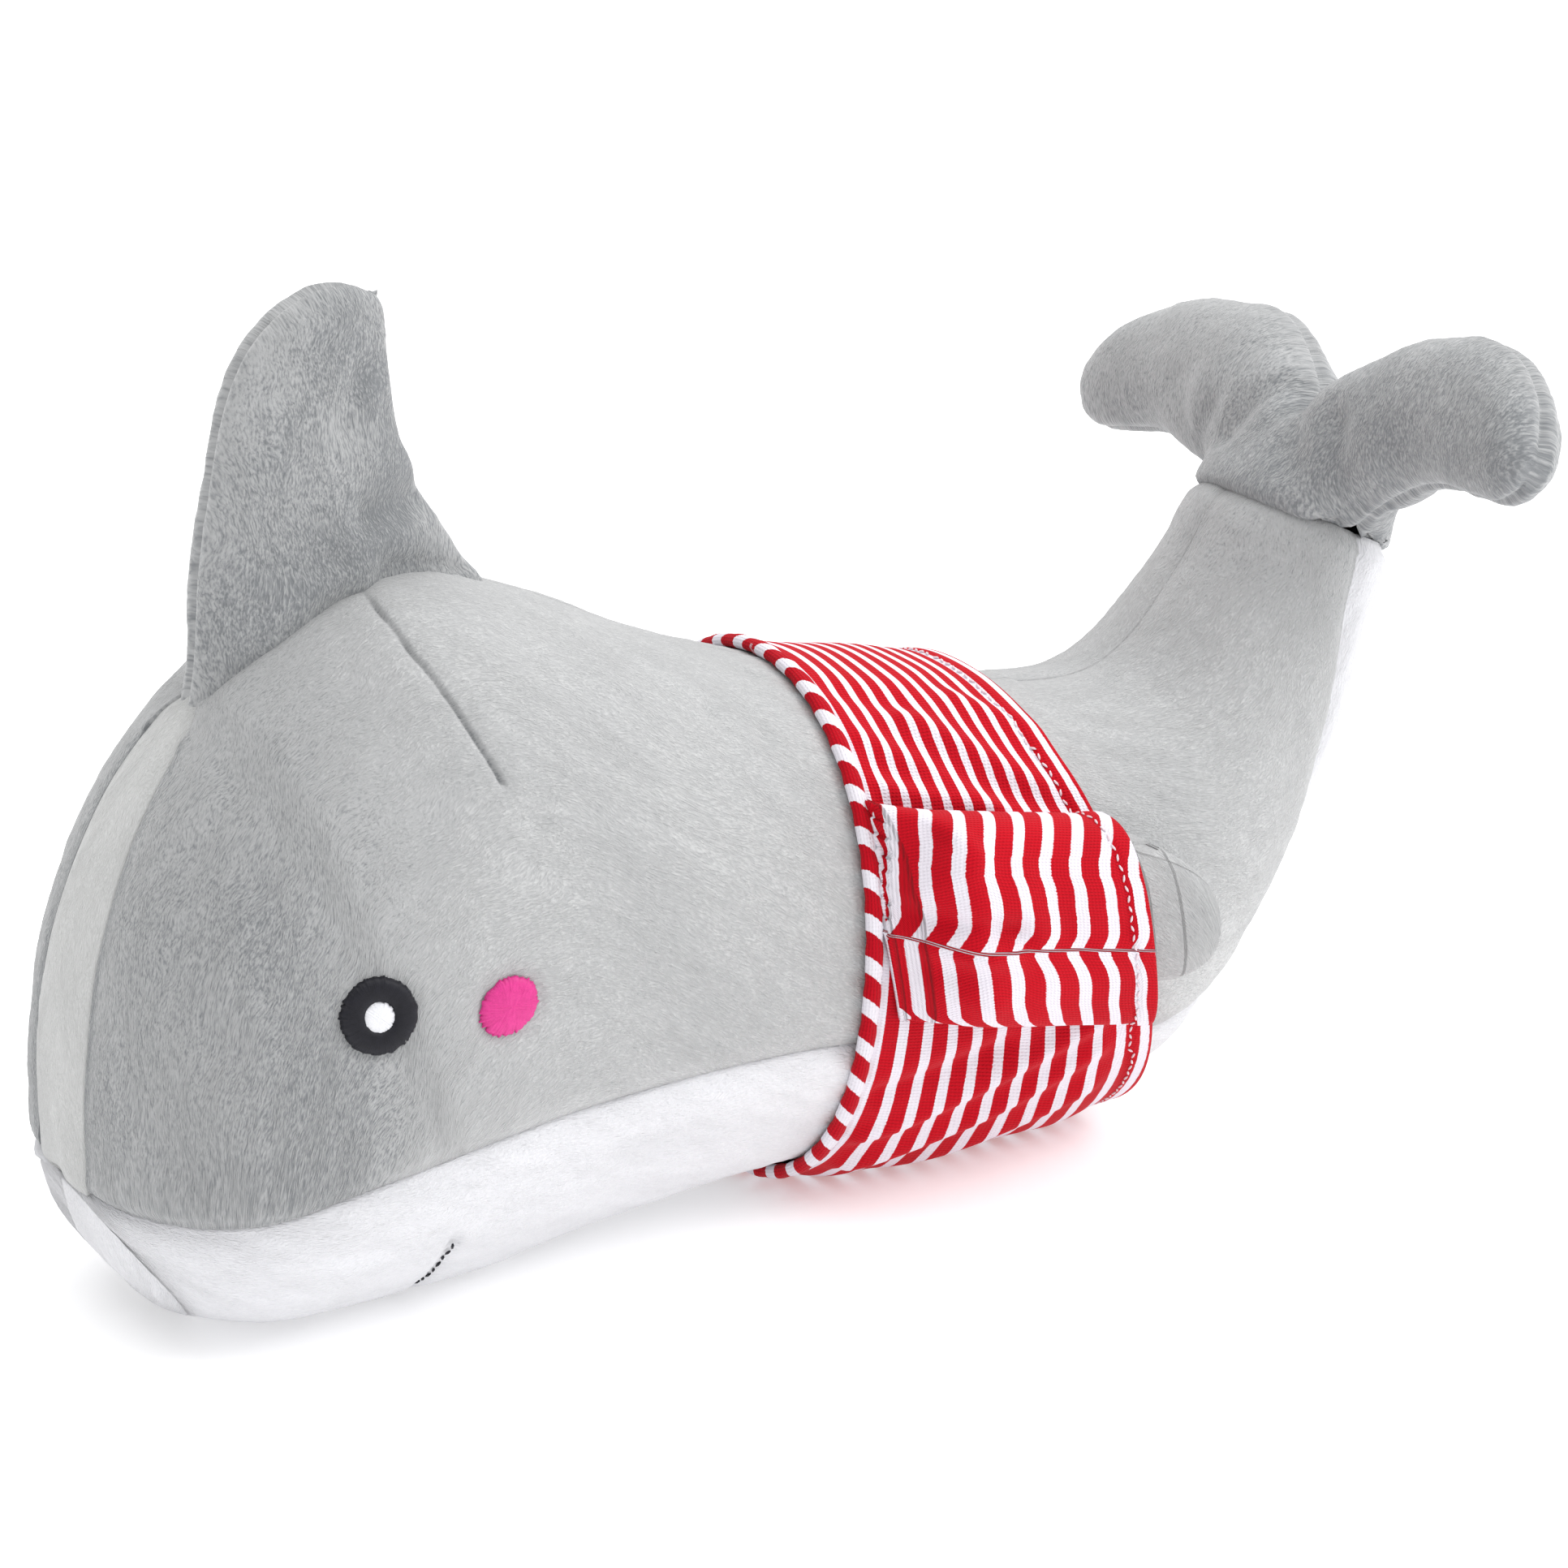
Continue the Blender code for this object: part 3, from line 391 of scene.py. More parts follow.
@dataclass(frozen=True)
class PlushFinish:
    """Short plush pile, brushed along the length of the piece."""

    name: str
    slot: str
    deep: Colour
    face: Colour
    tip: Colour
    relief: float = 0.5 * MM

    def make(self) -> bpy.types.Material:
        """The material of the pile, whose strokes lie along the cloth's pattern."""
        paint = Paint(self.name)
        place = paint.cloth_place()
        sway = paint.node(
            "ShaderNodeTexNoise", {}, {"Vector": place, "Scale": 0.05, "Detail": 2.0}, output=1
        )
        shift = paint.node("ShaderNodeVectorMath", {"operation": "SUBTRACT"}, (sway, (0.5, 0.5, 0.5)))
        shift = paint.node("ShaderNodeVectorMath", {"operation": "MULTIPLY"}, (shift, (9.0, 9.0, 0.0)))
        swept = paint.node("ShaderNodeVectorMath", {"operation": "ADD"}, (place, shift))
        hairs = paint.grain(paint.stretched(swept, 1.1, 2.9), 1.0, 3.0, 0.35)
        tufts = paint.grain(paint.stretched(swept, 0.36, 0.8), 1.0, 2.0, 0.6)
        patches = paint.grain(place, 0.022, 2.0)
        # The mesh's mark paints light and shade into the pile's colour, with some random tone.
        pile_and_painted_light = paint.mark()
        depth = (hairs - 0.5) * 1.0 + (tufts - 0.5) * 0.4 + (patches - 0.5) * 0.34 + pile_and_painted_light
        colour = paint.mix(depth.step(0.0, 0.5), self.deep, self.face)
        colour = paint.mix(depth.step(0.5, 1.0), colour, self.tip)
        constants = {
            "Roughness": 0.9,
            "Specular IOR Level": 0.15,
            "Sheen Weight": 0.55,
            "Sheen Roughness": 0.5,
        }
        paint.finish(constants, colour, hairs * 0.8 + tufts * 0.5, self.relief)
        return paint.material


@dataclass(frozen=True)
class KnitFinish:
    """Fine jersey with two-coloured stripes, which follow the piece's stripe attribute."""

    name: str
    slot: str
    stripe: Colour
    ground: Colour
    ground_share: float
    wale_mm: float = 0.62
    course_mm: float = 0.78

    def make(self) -> bpy.types.Material:
        """The material of the jersey, with its stitches in relief."""
        paint = Paint(self.name)
        place = paint.cloth_place()
        along, around = paint.split(place)
        stitches = (around * (math.pi / self.wale_mm)).sine().size()
        rows = (along * (2 * math.pi / self.course_mm) + stitches * 2.4).sine()
        fuzz = paint.grain(place, 2.6, 3.0)
        shade = paint.grain(place, 0.05, 2.0)
        phase = paint.node("ShaderNodeAttribute", {"attribute_name": "mark"}, output=2)
        wobble = (fuzz - 0.5) * 0.05 + rows * 0.008
        edge = 0.5 - self.ground_share / 2
        ground = (phase + wobble).ping_pong(0.5).step(edge - 0.012, edge + 0.012)
        dark = tuple(0.72 * part for part in self.stripe)
        pale = tuple(0.9 * part for part in self.ground)
        yarn = stitches * 0.5 + fuzz * 0.45 + (shade - 0.5) * 0.5
        red = paint.mix(yarn.step(0.1, 0.8), dark, self.stripe)
        white = paint.mix(yarn.step(0.05, 0.6), pale, self.ground)
        constants = {
            "Roughness": 0.82,
            "Specular IOR Level": 0.12,
            "Sheen Weight": 0.04,
            "Sheen Roughness": 0.5,
        }
        height = stitches * 0.55 + rows * 0.2 + fuzz * 0.35
        paint.finish(constants, paint.mix(ground, red, white), height, 0.13 * MM)
        return paint.material


@dataclass(frozen=True)
class ThreadFinish:
    """Satin-stitched thread, with fine streaks along each thread."""

    name: str
    slot: str
    deep: Colour
    face: Colour
    gloss: float = 0.42

    def make(self) -> bpy.types.Material:
        """The material of the thread."""
        paint = Paint(self.name)
        place = paint.node("ShaderNodeTexCoord", {}, (), output=3)
        fibres = paint.grain(place, 5200.0, 2.0)
        cloud = paint.grain(place, 900.0, 1.0)
        colour = paint.mix(fibres * 0.7 + cloud * 0.5 - 0.1, self.deep, self.face)
        constants = {
            "Roughness": self.gloss,
            "Specular IOR Level": 0.3,
            "Sheen Weight": 0.03,
            "Sheen Roughness": 0.3,
        }
        paint.finish(constants, colour, fibres, 0.05 * MM)
        return paint.material


@dataclass(frozen=True)
class FibreFinish:
    """Loose polyester stuffing."""

    name: str
    slot: str
    deep: Colour
    face: Colour

    def make(self) -> bpy.types.Material:
        """The material of the stuffing, a tangle of fibres."""
        paint = Paint(self.name)
        place = paint.node("ShaderNodeTexCoord", {}, (), output=3)
        tangle = paint.grain(place, 340.0, 5.0, 1.6)
        colour = paint.mix(tangle.step(0.3, 0.7), self.deep, self.face)
        paint.finish({"Roughness": 0.95, "Sheen Weight": 0.2}, colour, tangle, 0.8 * MM)
        return paint.material


GREY_PLUSH = PlushFinish(
    "grey_plush_pile", "grey_plush", (0.20, 0.21, 0.22), (0.43, 0.435, 0.44), (0.60, 0.605, 0.605)
)
# The same grey plush on the forehead gusset, painted paler: painted sheen of the pile seen edge-on.
GREY_PLUSH_PAINTED_SHEEN = PlushFinish(
    "forehead_plush_pile", "grey_plush", (0.30, 0.305, 0.305), (0.52, 0.525, 0.52), (0.64, 0.645, 0.64)
)
WHITE_PLUSH = PlushFinish(
    "white_plush_pile", "white_plush", (0.64, 0.645, 0.68), (0.75, 0.75, 0.78), (0.82, 0.82, 0.845)
)
STRIPED_KNIT = KnitFinish(
    "striped_jersey", "striped_knit", (0.55, 0.002, 0.012), (0.80, 0.76, 0.83), 0.40
)
BINDING_KNIT = KnitFinish(
    "binding_jersey", "striped_knit", (0.50, 0.002, 0.012), (0.80, 0.77, 0.83), 0.42
)
HEM_THREAD = ThreadFinish("hem_sewing_thread", "hem_thread", (0.70, 0.5, 0.56), (0.9, 0.84, 0.88))
BLACK_THREAD = ThreadFinish(
    "black_embroidery_thread", "black_thread", (0.002, 0.002, 0.004), (0.014, 0.014, 0.022), 0.5
)
WHITE_THREAD = ThreadFinish(
    "white_embroidery_thread", "white_thread", (0.72, 0.73, 0.78), (0.93, 0.93, 0.95)
)
PINK_THREAD = ThreadFinish(
    "pink_embroidery_thread", "pink_thread", (0.50, 0.02, 0.17), (0.86, 0.06, 0.34)
)
STUFFING = FibreFinish("polyester_stuffing", "stuffing", (0.62, 0.61, 0.58), (0.9, 0.89, 0.87))

Finish = PlushFinish | KnitFinish | ThreadFinish | FibreFinish


class Wardrobe:
    """Makes each finish's material once and dresses pieces in it."""

    def __init__(self) -> None:
        """Starts with no material made."""
        self.made: dict[str, bpy.types.Material] = {}

    def material(self, finish: Finish) -> bpy.types.Material:
        """The finish's material, which is made when it is first needed."""
        if finish.name not in self.made:
            self.made[finish.name] = finish.make()
        return self.made[finish.name]

    def dress(self, piece: bpy.types.Object, finish: Finish, *nodes: str) -> None:
        """Gives a piece its material and hides the parts that it stands for.

        Args:
            piece: the piece to dress.
            finish: what it is made of.
            nodes: the parts that it replaces.
        """
        piece.data.materials.clear()
        piece.data.materials.append(self.material(finish))
        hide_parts(*nodes)


# ------------------------------------------------------------------ cloth patches


class Patch:
    """A rectangle of cloth, as a grid of points that is laid out, puffed and creased."""

    filled = 0.84

    def __init__(self, points: np.ndarray, core: np.ndarray) -> None:
        """Lays the cloth out.

        Args:
            points: the grid's points, by row and column.
            core: a point inside the shape for each row, to tell which way is out.
        """
        self.points = points
        self.core = core

    def normals(self) -> np.ndarray:
        """The outward direction at each point."""
        down = np.gradient(self.points, axis=0)
        right = np.gradient(self.points, axis=1)
        cross = np.cross(down, right)
        joined = np.linalg.norm(self.points[:, 0] - self.points[:, -1], axis=-1) < 0.01 * MM
        shared = cross[joined, 0] + cross[joined, -1]
        cross[joined, 0] = shared
        cross[joined, -1] = shared
        length = np.linalg.norm(cross, axis=-1, keepdims=True)
        cross = cross / np.maximum(length, 1e-12)
        outward = self.points - self.core[:, None, :]
        sign = np.sign((cross * outward).sum(axis=-1).mean())
        self.flipped = bool(sign < 0)
        return cross * sign

    def along(self) -> np.ndarray:
        """How far each point is from its column's first row."""
        steps = np.linalg.norm(np.diff(self.points, axis=0), axis=-1)
        return np.vstack([np.zeros(self.points.shape[1]), np.cumsum(steps, axis=0)])

    def across(self) -> np.ndarray:
        """How far each point is from its row's first column."""
        steps = np.linalg.norm(np.diff(self.points, axis=1), axis=-1)
        start = np.zeros((self.points.shape[0], 1))
        return np.hstack([start, np.cumsum(steps, axis=1)])

    def cloth(self) -> np.ndarray:
        """Each point's place along and across the cloth's pattern, in millimetres."""
        return np.stack([self.along(), self.across()], axis=-1) / MM

    def from_column(self, column: int) -> np.ndarray:
        """How far each point is from its row's point in one column."""
        return np.linalg.norm(self.points - self.points[:, column][:, None], axis=-1)

    def lay_on_floor(self) -> None:
        """Lifts every point that would be under the floor."""
        self.points[..., 2] = np.maximum(self.points[..., 2], FLOOR_CLEARANCE)

    def mirror(self) -> None:
        """Moves a patch of the left side to the right side."""
        self.points, self.core = mirrored(self.points), mirrored(self.core)

    def raise_by(self, height: np.ndarray) -> None:
        """Moves every point outwards by its height."""
        self.points = self.points + self.normals() * height[..., None]

    def sew_end(self, row: int) -> None:
        """Brings the two faces of a padded piece together in one of its end rows."""
        middle = (self.points[row] + self.points[row, ::-1]) / 2
        self.points[row] = middle

    def build_filling(
        self, wardrobe: Wardrobe, name: str, node: str, ends: tuple[int, ...]
    ) -> bpy.types.Object:
        """Makes the filling that lies inside the piece.

        Args:
            wardrobe: dresses the filling.
            name: the filling's name.
            node: the part that it stands for.
            ends: the rows that are drawn together to a point.

        Returns:
            The filling.
        """
        core = self.core[:, None, :]
        inner = Patch(core + (self.points - core) * self.filled, self.core)
        for end in ends:
            inner.points[end] = inner.points[end].mean(axis=0)
        blank = np.zeros((*self.points.shape[:2], 2))
        piece = inner.build(name, blank, blank[..., 0])
        wardrobe.dress(piece, STUFFING, node)
        return piece

    def build(
        self,
        name: str,
        cloth: np.ndarray,
        mark: np.ndarray,
        wall: float = 0.0,
        merge: float = 0.01 * MM,
    ) -> bpy.types.Object:
        """Makes the patch an object.

        Args:
            name: the object's name.
            cloth: each point's place on the cloth's pattern, in millimetres.
            mark: each point's place across the stripes of a knit, in repeats, or, for a plush, its
                painted light and shade with some random tone, from 0 to 1.
            wall: how thick the cloth is, growing inwards; 0 leaves a single sheet.
            merge: points that are nearer than this become one.

        Returns:
            The object, in place.
        """
        rows, columns = self.points.shape[:2]
        self.normals()
        bm = bmesh.new()
        bmesh.ops.create_grid(bm, x_segments=rows - 1, y_segments=columns - 1, size=0.5)
        uv_layer = bm.loops.layers.uv.new("cloth")
        band = bm.verts.layers.float.new("mark")
        place = {}
        for vert in bm.verts:
            row = round((vert.co.x + 0.5) * (rows - 1))
            column = round((vert.co.y + 0.5) * (columns - 1))
            place[vert] = (row, column)
        for face in bm.faces:
            for loop in face.loops:
                loop[uv_layer].uv = cloth[place[loop.vert]]
        for vert, spot in place.items():
            vert.co = self.points[spot]
            vert[band] = mark[spot]
        if self.flipped:
            bmesh.ops.reverse_faces(bm, faces=bm.faces)
        bmesh.ops.remove_doubles(bm, verts=bm.verts, dist=merge)
        thin = [face for face in bm.faces if face.calc_area() < 1e-12]
        bmesh.ops.delete(bm, geom=thin, context="FACES_ONLY")
        return object_from(bm, name, wall)


def object_from(bm: bmesh.types.BMesh, name: str, wall: float = 0.0) -> bpy.types.Object:
    """Makes a bmesh a smooth object in the scene.

    Args:
        bm: the mesh, which is used up.
        name: the object's name.
        wall: the thickness to give it inwards, or 0 for none.

    Returns:
        The object.
    """
    mesh = bpy.data.meshes.new(name)
    bm.to_mesh(mesh)
    bm.free()
    mesh.shade_smooth()
    made = bpy.data.objects.new(name, mesh)
    bpy.context.collection.objects.link(made)
    if wall:
        cloth = made.modifiers.new("cloth_thickness", "SOLIDIFY")
        cloth.thickness = wall
        cloth.offset = -1.0
        cloth.use_rim = True
    return made


class Probe:
    """Finds places on a surface."""

    def __init__(self, points: np.ndarray) -> None:
        """Takes a grid of points as a surface.

        Args:
            points: the surface's points by row and column.
        """
        rows, columns = points.shape[:2]
        grid = np.arange(rows * columns).reshape(rows, columns)
        corners = (grid[:-1, :-1], grid[1:, :-1], grid[1:, 1:], grid[:-1, 1:])
        faces = np.stack(corners, axis=-1).reshape(-1, 4).tolist()
        verts = [Vector(point) for point in points.reshape(-1, 3).tolist()]
        self.tree = BVHTree.FromPolygons(verts, faces)

    def from_side(self, x: float, z: float, side: float) -> tuple[Vector, Vector]:
        """The surface as seen from one side.

        Args:
            x: how far along the body.
            z: how high.
            side: -1 for the left side and 1 for the right.

        Returns:
            The point there, and the surface's outward direction.
        """
        hit, normal, _, _ = self.tree.ray_cast(Vector((x, side * 0.3, z)), Vector((0, -side, 0)))
        if normal.y * side < 0:
            normal = -normal
        return hit, normal

    def below(self, above: Vector, direction: Vector) -> Vector:
        """The nearest place on the surface in a direction from a point."""
        hit, _, _, _ = self.tree.ray_cast(above, direction)
        return hit if hit is not None else self.tree.find_nearest(above)[0]


# ------------------------------------------------------------------ the body's shape


class BodyShape:
    """The stuffed body as a row of slanted sections, from the chin to the fluke seam."""

    def __init__(self) -> None:
        """Grades the paper pattern to the overall sizes."""
        pattern = PATTERN_SECTIONS
        self.nose = pattern[:, 0].min()
        self.length = BODY_LENGTH / (pattern[:, 2].max() - self.nose)
        self.height = BODY_HEIGHT / pattern[:, 1].max()
        graded = pattern.copy()
        graded[:, (0, 2)] = (pattern[:, (0, 2)] - self.nose) * self.length + NOSE_X
        graded[:, (1, 3)] = pattern[:, (1, 3)] * self.height
        graded[:, 4] = pattern[:, 4] * BODY_WIDTH / (2 * pattern[:, 4].max())
        self.rows = graded
        seam = np.array([catmull_rom(BELLY_SEAM, k) for k in np.linspace(0, len(BELLY_SEAM) - 1, 120)])
        self.seam_x = (seam[:, 0] - self.nose) * self.length + NOSE_X
        self.seam_z = seam[:, 1] * self.height

    def section(self, place: float) -> np.ndarray:
        """One section: dorsal x and z, ventral x and z, half width, waist."""
        return catmull_rom(self.rows, place)

    def up(self, row: np.ndarray) -> np.ndarray:
        """The unit direction from a section's ventral to its dorsal point."""
        line = row[0:2] - row[2:4]
        return line / max(np.linalg.norm(line), 1e-9)

    def grown(self, row: np.ndarray, top: float, side: float, bottom: float) -> np.ndarray:
        """A section with its dorsal, side and ventral points moved outwards."""
        up = self.up(row)
        ends = (row[0:2] + up * top, row[2:4] - up * bottom, [row[4] + side, row[5]])
        return np.concatenate(ends)

    def ring(self, row: np.ndarray, angles: np.ndarray) -> np.ndarray:
        """Points of a section's outline.

        Args:
            row: the section.
            angles: their angles from the dorsal point, turning towards the left side.

        Returns:
            One point for each angle.
        """
        power = 2 / SECTION_SQUARENESS
        across, along = np.sin(angles), np.cos(angles)
        dorsal, ventral = row[0:2], row[2:4]
        centre = ventral + (dorsal - ventral) * row[5]
        end = np.where((along >= 0)[:, None], dorsal, ventral)
        flat = centre + (end - centre) * (np.abs(along) ** power)[:, None]
        side = -np.sign(across) * np.abs(across) ** power * max(row[4], 0.0)
        height = np.maximum(flat[:, 1], FLOOR_CLEARANCE)
        return np.column_stack([flat[:, 0], side, height])

    def middle(self, place: float) -> Vector:
        """The middle of a section."""
        row = self.section(place)
        return Vector(((row[0] + row[2]) / 2, 0.0, (row[1] + row[3]) / 2))

    def dorsal(self, place: float) -> Vector:
        """The dorsal point of a section."""
        row = self.section(place)
        return Vector((row[0], 0.0, row[1]))

    def seam_angle(self, row: np.ndarray) -> float:
        """The angle at which a section crosses the belly seam on the left side."""
        angles = np.linspace(0, math.pi, 361)
        points = self.ring(row, angles)
        over = points[:, 2] - np.interp(points[:, 0], self.seam_x, self.seam_z)
        below = np.flatnonzero(over < 0)
        if len(below) == 0 or below[0] == 0:
            return 0.0 if len(below) else math.pi
        first = below[0]
        share = over[first - 1] / (over[first - 1] - over[first])
        return float(angles[first - 1] + (angles[first] - angles[first - 1]) * share)

    def gusset_angle(self, row: np.ndarray) -> float:
        """The angle at which a section crosses the forehead gusset's seam."""
        heights = np.array([-0.05, 0.45, 0.60, 0.75, 0.86, 1.2]) * BODY_HEIGHT
        widths = np.array([11.5, 11.5, 10.2, 8.4, 6.0, 5.4]) * MM
        wide = np.interp(row[1], heights, widths)
        share = min(wide / max(row[4], 1e-6), 1.0)
        return float(math.asin(share ** (SECTION_SQUARENESS / 2)))

    def even_places(self, start: float, end: float, spacing: float) -> np.ndarray:
        """Places whose sections are about evenly spaced along the skin."""
        fine = np.linspace(start, end, 600)
        rows = np.array([self.section(place) for place in fine])
        steps = np.maximum(
            np.linalg.norm(np.diff(rows[:, 0:2], axis=0), axis=1),
            np.linalg.norm(np.diff(rows[:, 2:4], axis=0), axis=1),
        )
        run = np.concatenate([[0.0], np.cumsum(steps)])
        count = int(run[-1] / spacing) + 2
        return np.interp(np.linspace(0, run[-1], count), run, fine)

    def strip(self, row: np.ndarray, start: float, end: float, count: int) -> np.ndarray:
        """Points at even distances along a section's outline between two angles."""
        fine = np.linspace(start, end, 160)
        points = self.ring(row, fine)
        steps = np.linalg.norm(np.diff(points, axis=0), axis=1)
        run = np.concatenate([[0.0], np.cumsum(steps)])
        if run[-1] < 1e-9:
            return np.repeat(points[:1], count, axis=0)
        angles = np.interp(np.linspace(0, run[-1], count), run, fine)
        return self.ring(row, angles)


SHAPE = BodyShape()


class Side(Enum):
    """Which side of the shark, with the sign of its Y."""

    LEFT = -1
    RIGHT = 1

    @property
    def word(self) -> str:
        """The side's name in piece names."""
        return self.name.lower()


def mirrored(points: np.ndarray) -> np.ndarray:
    """Points of the left side, mirrored to the right."""
    return points * np.array([1.0, -1.0, 1.0])


# ------------------------------------------------------------------ the plush skin


@dataclass
class BodySkin:
    """The plush panels of the body: two sides, the forehead gusset and the belly."""

    spacing: float = 1.25 * MM
    wall: float = 1.4 * MM
    fill: float = 0.8
    seam_depth: float = 1.5 * MM
    seam_width: float = 2.1 * MM
    puff: float = 0.7 * MM
    belly_pull: float = 0.8
    back_pull: float = 0.32
    first_place: float = 0.03
    dart_places: tuple[float, float] = (6.68, 7.05)
    dart_rows: int = 48
    pits: tuple[tuple[float, float], ...] = ((9.66, 0.27), (9.36, 0.67), (8.97, 0.61), (7.1, 1.1))
    tail_bend_start: tuple[float, float, float] = (0.018, 0.0, 0.048)
    tail_bend_end: tuple[float, float, float] = (0.064, 0.0, 0.048)

    def valley(self, distance: np.ndarray) -> np.ndarray:
        """How deep a seam pulls the pile down at a distance from it."""
        puffed = self.puff * bell(distance - 3.2 * self.seam_width, 2.6 * self.seam_width)
        return puffed - self.seam_depth * bell(distance, self.seam_width)

    def pile(self, points: np.ndarray, seed: float) -> np.ndarray:
        """The uneven lie of the pile and of the stuffing under it."""
        fine = lumps(points, 1.7 * MM, seed) * 0.13 * MM
        tufts = lumps(points, 3.6 * MM, seed + 3) * 0.16 * MM
        bulges = lumps(points, 17 * MM, seed + 7) * 0.45 * MM
        return fine + tufts + bulges

    def dart_path(self) -> np.ndarray:
        """The left head dart, from the fin's root down towards the cheek."""
        rows = [(6.79, 0.02), (6.76, 0.29), (6.765, 0.5), (6.83, 0.69), (6.88, 0.84), (6.93, 0.97)]
        return np.array([SHAPE.ring(SHAPE.section(p), np.array([a]))[0] for p, a in rows])

    def creases(self, points: np.ndarray) -> np.ndarray:
        """The heights of darts and of pressed places on a left side or belly patch."""
        dart = distance_to_path(points, self.dart_path())
        height = 0.3 * MM * bell(dart - 3.2 * MM, 2.4 * MM) - 1.0 * MM * bell(dart, 0.55 * MM)
        pits = [SHAPE.ring(SHAPE.section(p), np.array([a]))[0] for p, a in self.pits]
        for pit in pits:
            away = np.linalg.norm(points - pit, axis=-1)
            height = height - 0.9 * MM * bell(away, 1.9 * MM)
        for node, reach in (("left_eye_ring", 7.4 * MM), ("left_cheek", 6.4 * MM)):
            low, high = (np.array(corner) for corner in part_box(node))
            away = np.linalg.norm(points - (low + high) / 2, axis=-1)
            height = height - 0.5 * MM * smooth((reach * 1.3 - away) / (reach * 0.5))
        return height

    def build(self, wardrobe: Wardrobe) -> None:
        """Makes the four panels; the forehead gusset rides on the torso."""
        start = self.first_side_place()
        places = SHAPE.even_places(start, TAIL_END, self.spacing)
        low, high = self.dart_places
        near_dart = np.linspace(low, high, self.dart_rows)
        places = np.sort(np.concatenate([places[(places < low) | (places > high)], near_dart]))
        rows = [SHAPE.section(place) for place in places]
        core = np.array([SHAPE.middle(place) for place in places])
        strips = []
        for place, row in zip(places, rows):
            top = SHAPE.gusset_angle(row) * (1 - smooth((place - FIN_FRONT) / 0.35))
            strips.append(SHAPE.strip(row, float(top), SHAPE.seam_angle(row), 106))
        side = Patch(np.array(strips), core)
        across, along, cloth = side.across(), side.along(), side.cloth()
        from_belly = across[:, -1:] - across
        on_tail = smooth((places - 5.2) / 0.4)[:, None]
        back_seam = across + 30 * MM * on_tail * (1 - smooth((places - 12.2) / 0.6))[:, None]
        height = self.valley(from_belly) * self.belly_pull
        height = height + self.valley(back_seam) * self.back_pull
        height = height + self.valley(along[-1:, :] - along)
        height = height + self.creases(side.points)
        for which in Side:
            points = side.points
            patch = Patch(points, core)
            pile_and_painted_light = self.pile(points + which.value * 0.31, 2.0)
            edge = np.minimum(from_belly, across)
            patch.raise_by(height + pile_and_painted_light * smooth(edge / (2 * MM)))
            if which is Side.RIGHT:
                patch.mirror()
            patch.lay_on_floor()
            # Painted light and shade with random tone, carried in the mesh's mark.
            tone_and_painted_light = self.tone_and_painted_light(side.points, places)
            piece = patch.build(f"{which.word}_side_plush", cloth, tone_and_painted_light, wall=self.wall)
            wardrobe.dress(piece, GREY_PLUSH, f"{which.word}_side_panel", f"tail_{which.word}_panel")
            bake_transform(piece)
            LOG.info("side panel: %s", piece.name)
        self.build_forehead(wardrobe)
        self.build_belly(wardrobe)

    def tone_and_painted_light(self, points: np.ndarray, places: np.ndarray) -> np.ndarray:
        """The side panel's painted light and shade, with some random tone, from 0 to 1."""
        x, z = points[..., 0], points[..., 2]
        # Painted shade: the front of the head is painted darker, lighter towards the rear.
        pile_and_painted_light = 0.30 + 0.31 * smooth((x + 118 * MM + 0.25 * (z - 60 * MM)) / (48 * MM))
        # Painted light low on the head under the eye, where light from the floor falls.
        pile_and_painted_light = pile_and_painted_light + 0.12 * smooth((48 * MM - z) / (16 * MM)) * smooth((x + 110 * MM) / (20 * MM))
        # Painted shade, darker towards the tail's end.
        pile_and_painted_light = pile_and_painted_light - 0.17 * smooth((places - 15.6) / 1.6)[:, None]
        dart = distance_to_path(points, self.dart_path())
        # Painted shade along the panel's top edge at the gusset's seam, before the fin.
        from_top = np.cumsum(np.linalg.norm(np.diff(points, axis=1, prepend=points[:, :1]), axis=-1), 1)
        before_fin = (1 - smooth((places - 5.2) / 0.3))[:, None]
        pile_and_painted_light = pile_and_painted_light - 0.25 * bell(from_top, 2.0 * MM) * before_fin
        # Painted shade along the dart, with random tone from the lumps.
        return pile_and_painted_light + lumps(points, 24 * MM, 71.0) * 0.07 - 0.3 * bell(dart, 0.5 * MM)

    def first_side_place(self) -> float:
        """The place where the gusset's seam and the belly seam part."""
        for place in np.linspace(1.0, 3.0, 200):
            row = SHAPE.section(place)
            if SHAPE.seam_angle(row) > SHAPE.gusset_angle(row):
                return float(place)
        return 2.0

    def build_forehead(self, wardrobe: Wardrobe) -> None:
        """Makes the narrow gusset from the mouth seam up to the fin."""
        fine = np.linspace(1.0, 2.5, 300)
        angles = [SHAPE.seam_angle(SHAPE.section(place)) for place in fine]
        start = float(fine[int(np.argmax(np.array(angles) > 0.02))])
        places = SHAPE.even_places(start, FIN_FRONT + 0.45, self.spacing)
        core = np.array([SHAPE.middle(place) for place in places])
        strips = []
        for place in places:
            row = SHAPE.section(place)
            half = min(SHAPE.gusset_angle(row), SHAPE.seam_angle(row))
            half *= 1 - 0.9 * float(smooth((place - FIN_FRONT) / 0.35))
            strips.append(SHAPE.strip(row, -half, half, 26))
        patch = Patch(np.array(strips), core)
        across, along, cloth = patch.across(), patch.along(), patch.cloth()
        edge = np.minimum(across, across[:, -1:] - across)
        height = self.valley(edge) * 0.3 + self.valley(along) * 0.5
        height = height + self.pile(patch.points, 5.0) * smooth(edge / (2 * MM))
        patch.raise_by(height)
        # The gusset's mark is set lighter than the sides': painted sheen, with random tone.
        tone_and_painted_light = 0.62 + lumps(patch.points, 20 * MM, 73.0) * 0.08
        piece = patch.build("forehead_plush", cloth, tone_and_painted_light, wall=self.wall)
        wardrobe.dress(piece, GREY_PLUSH_PAINTED_SHEEN, "forehead_gusset")
        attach(piece, "torso")
        LOG.info("forehead gusset: %s", piece.name)

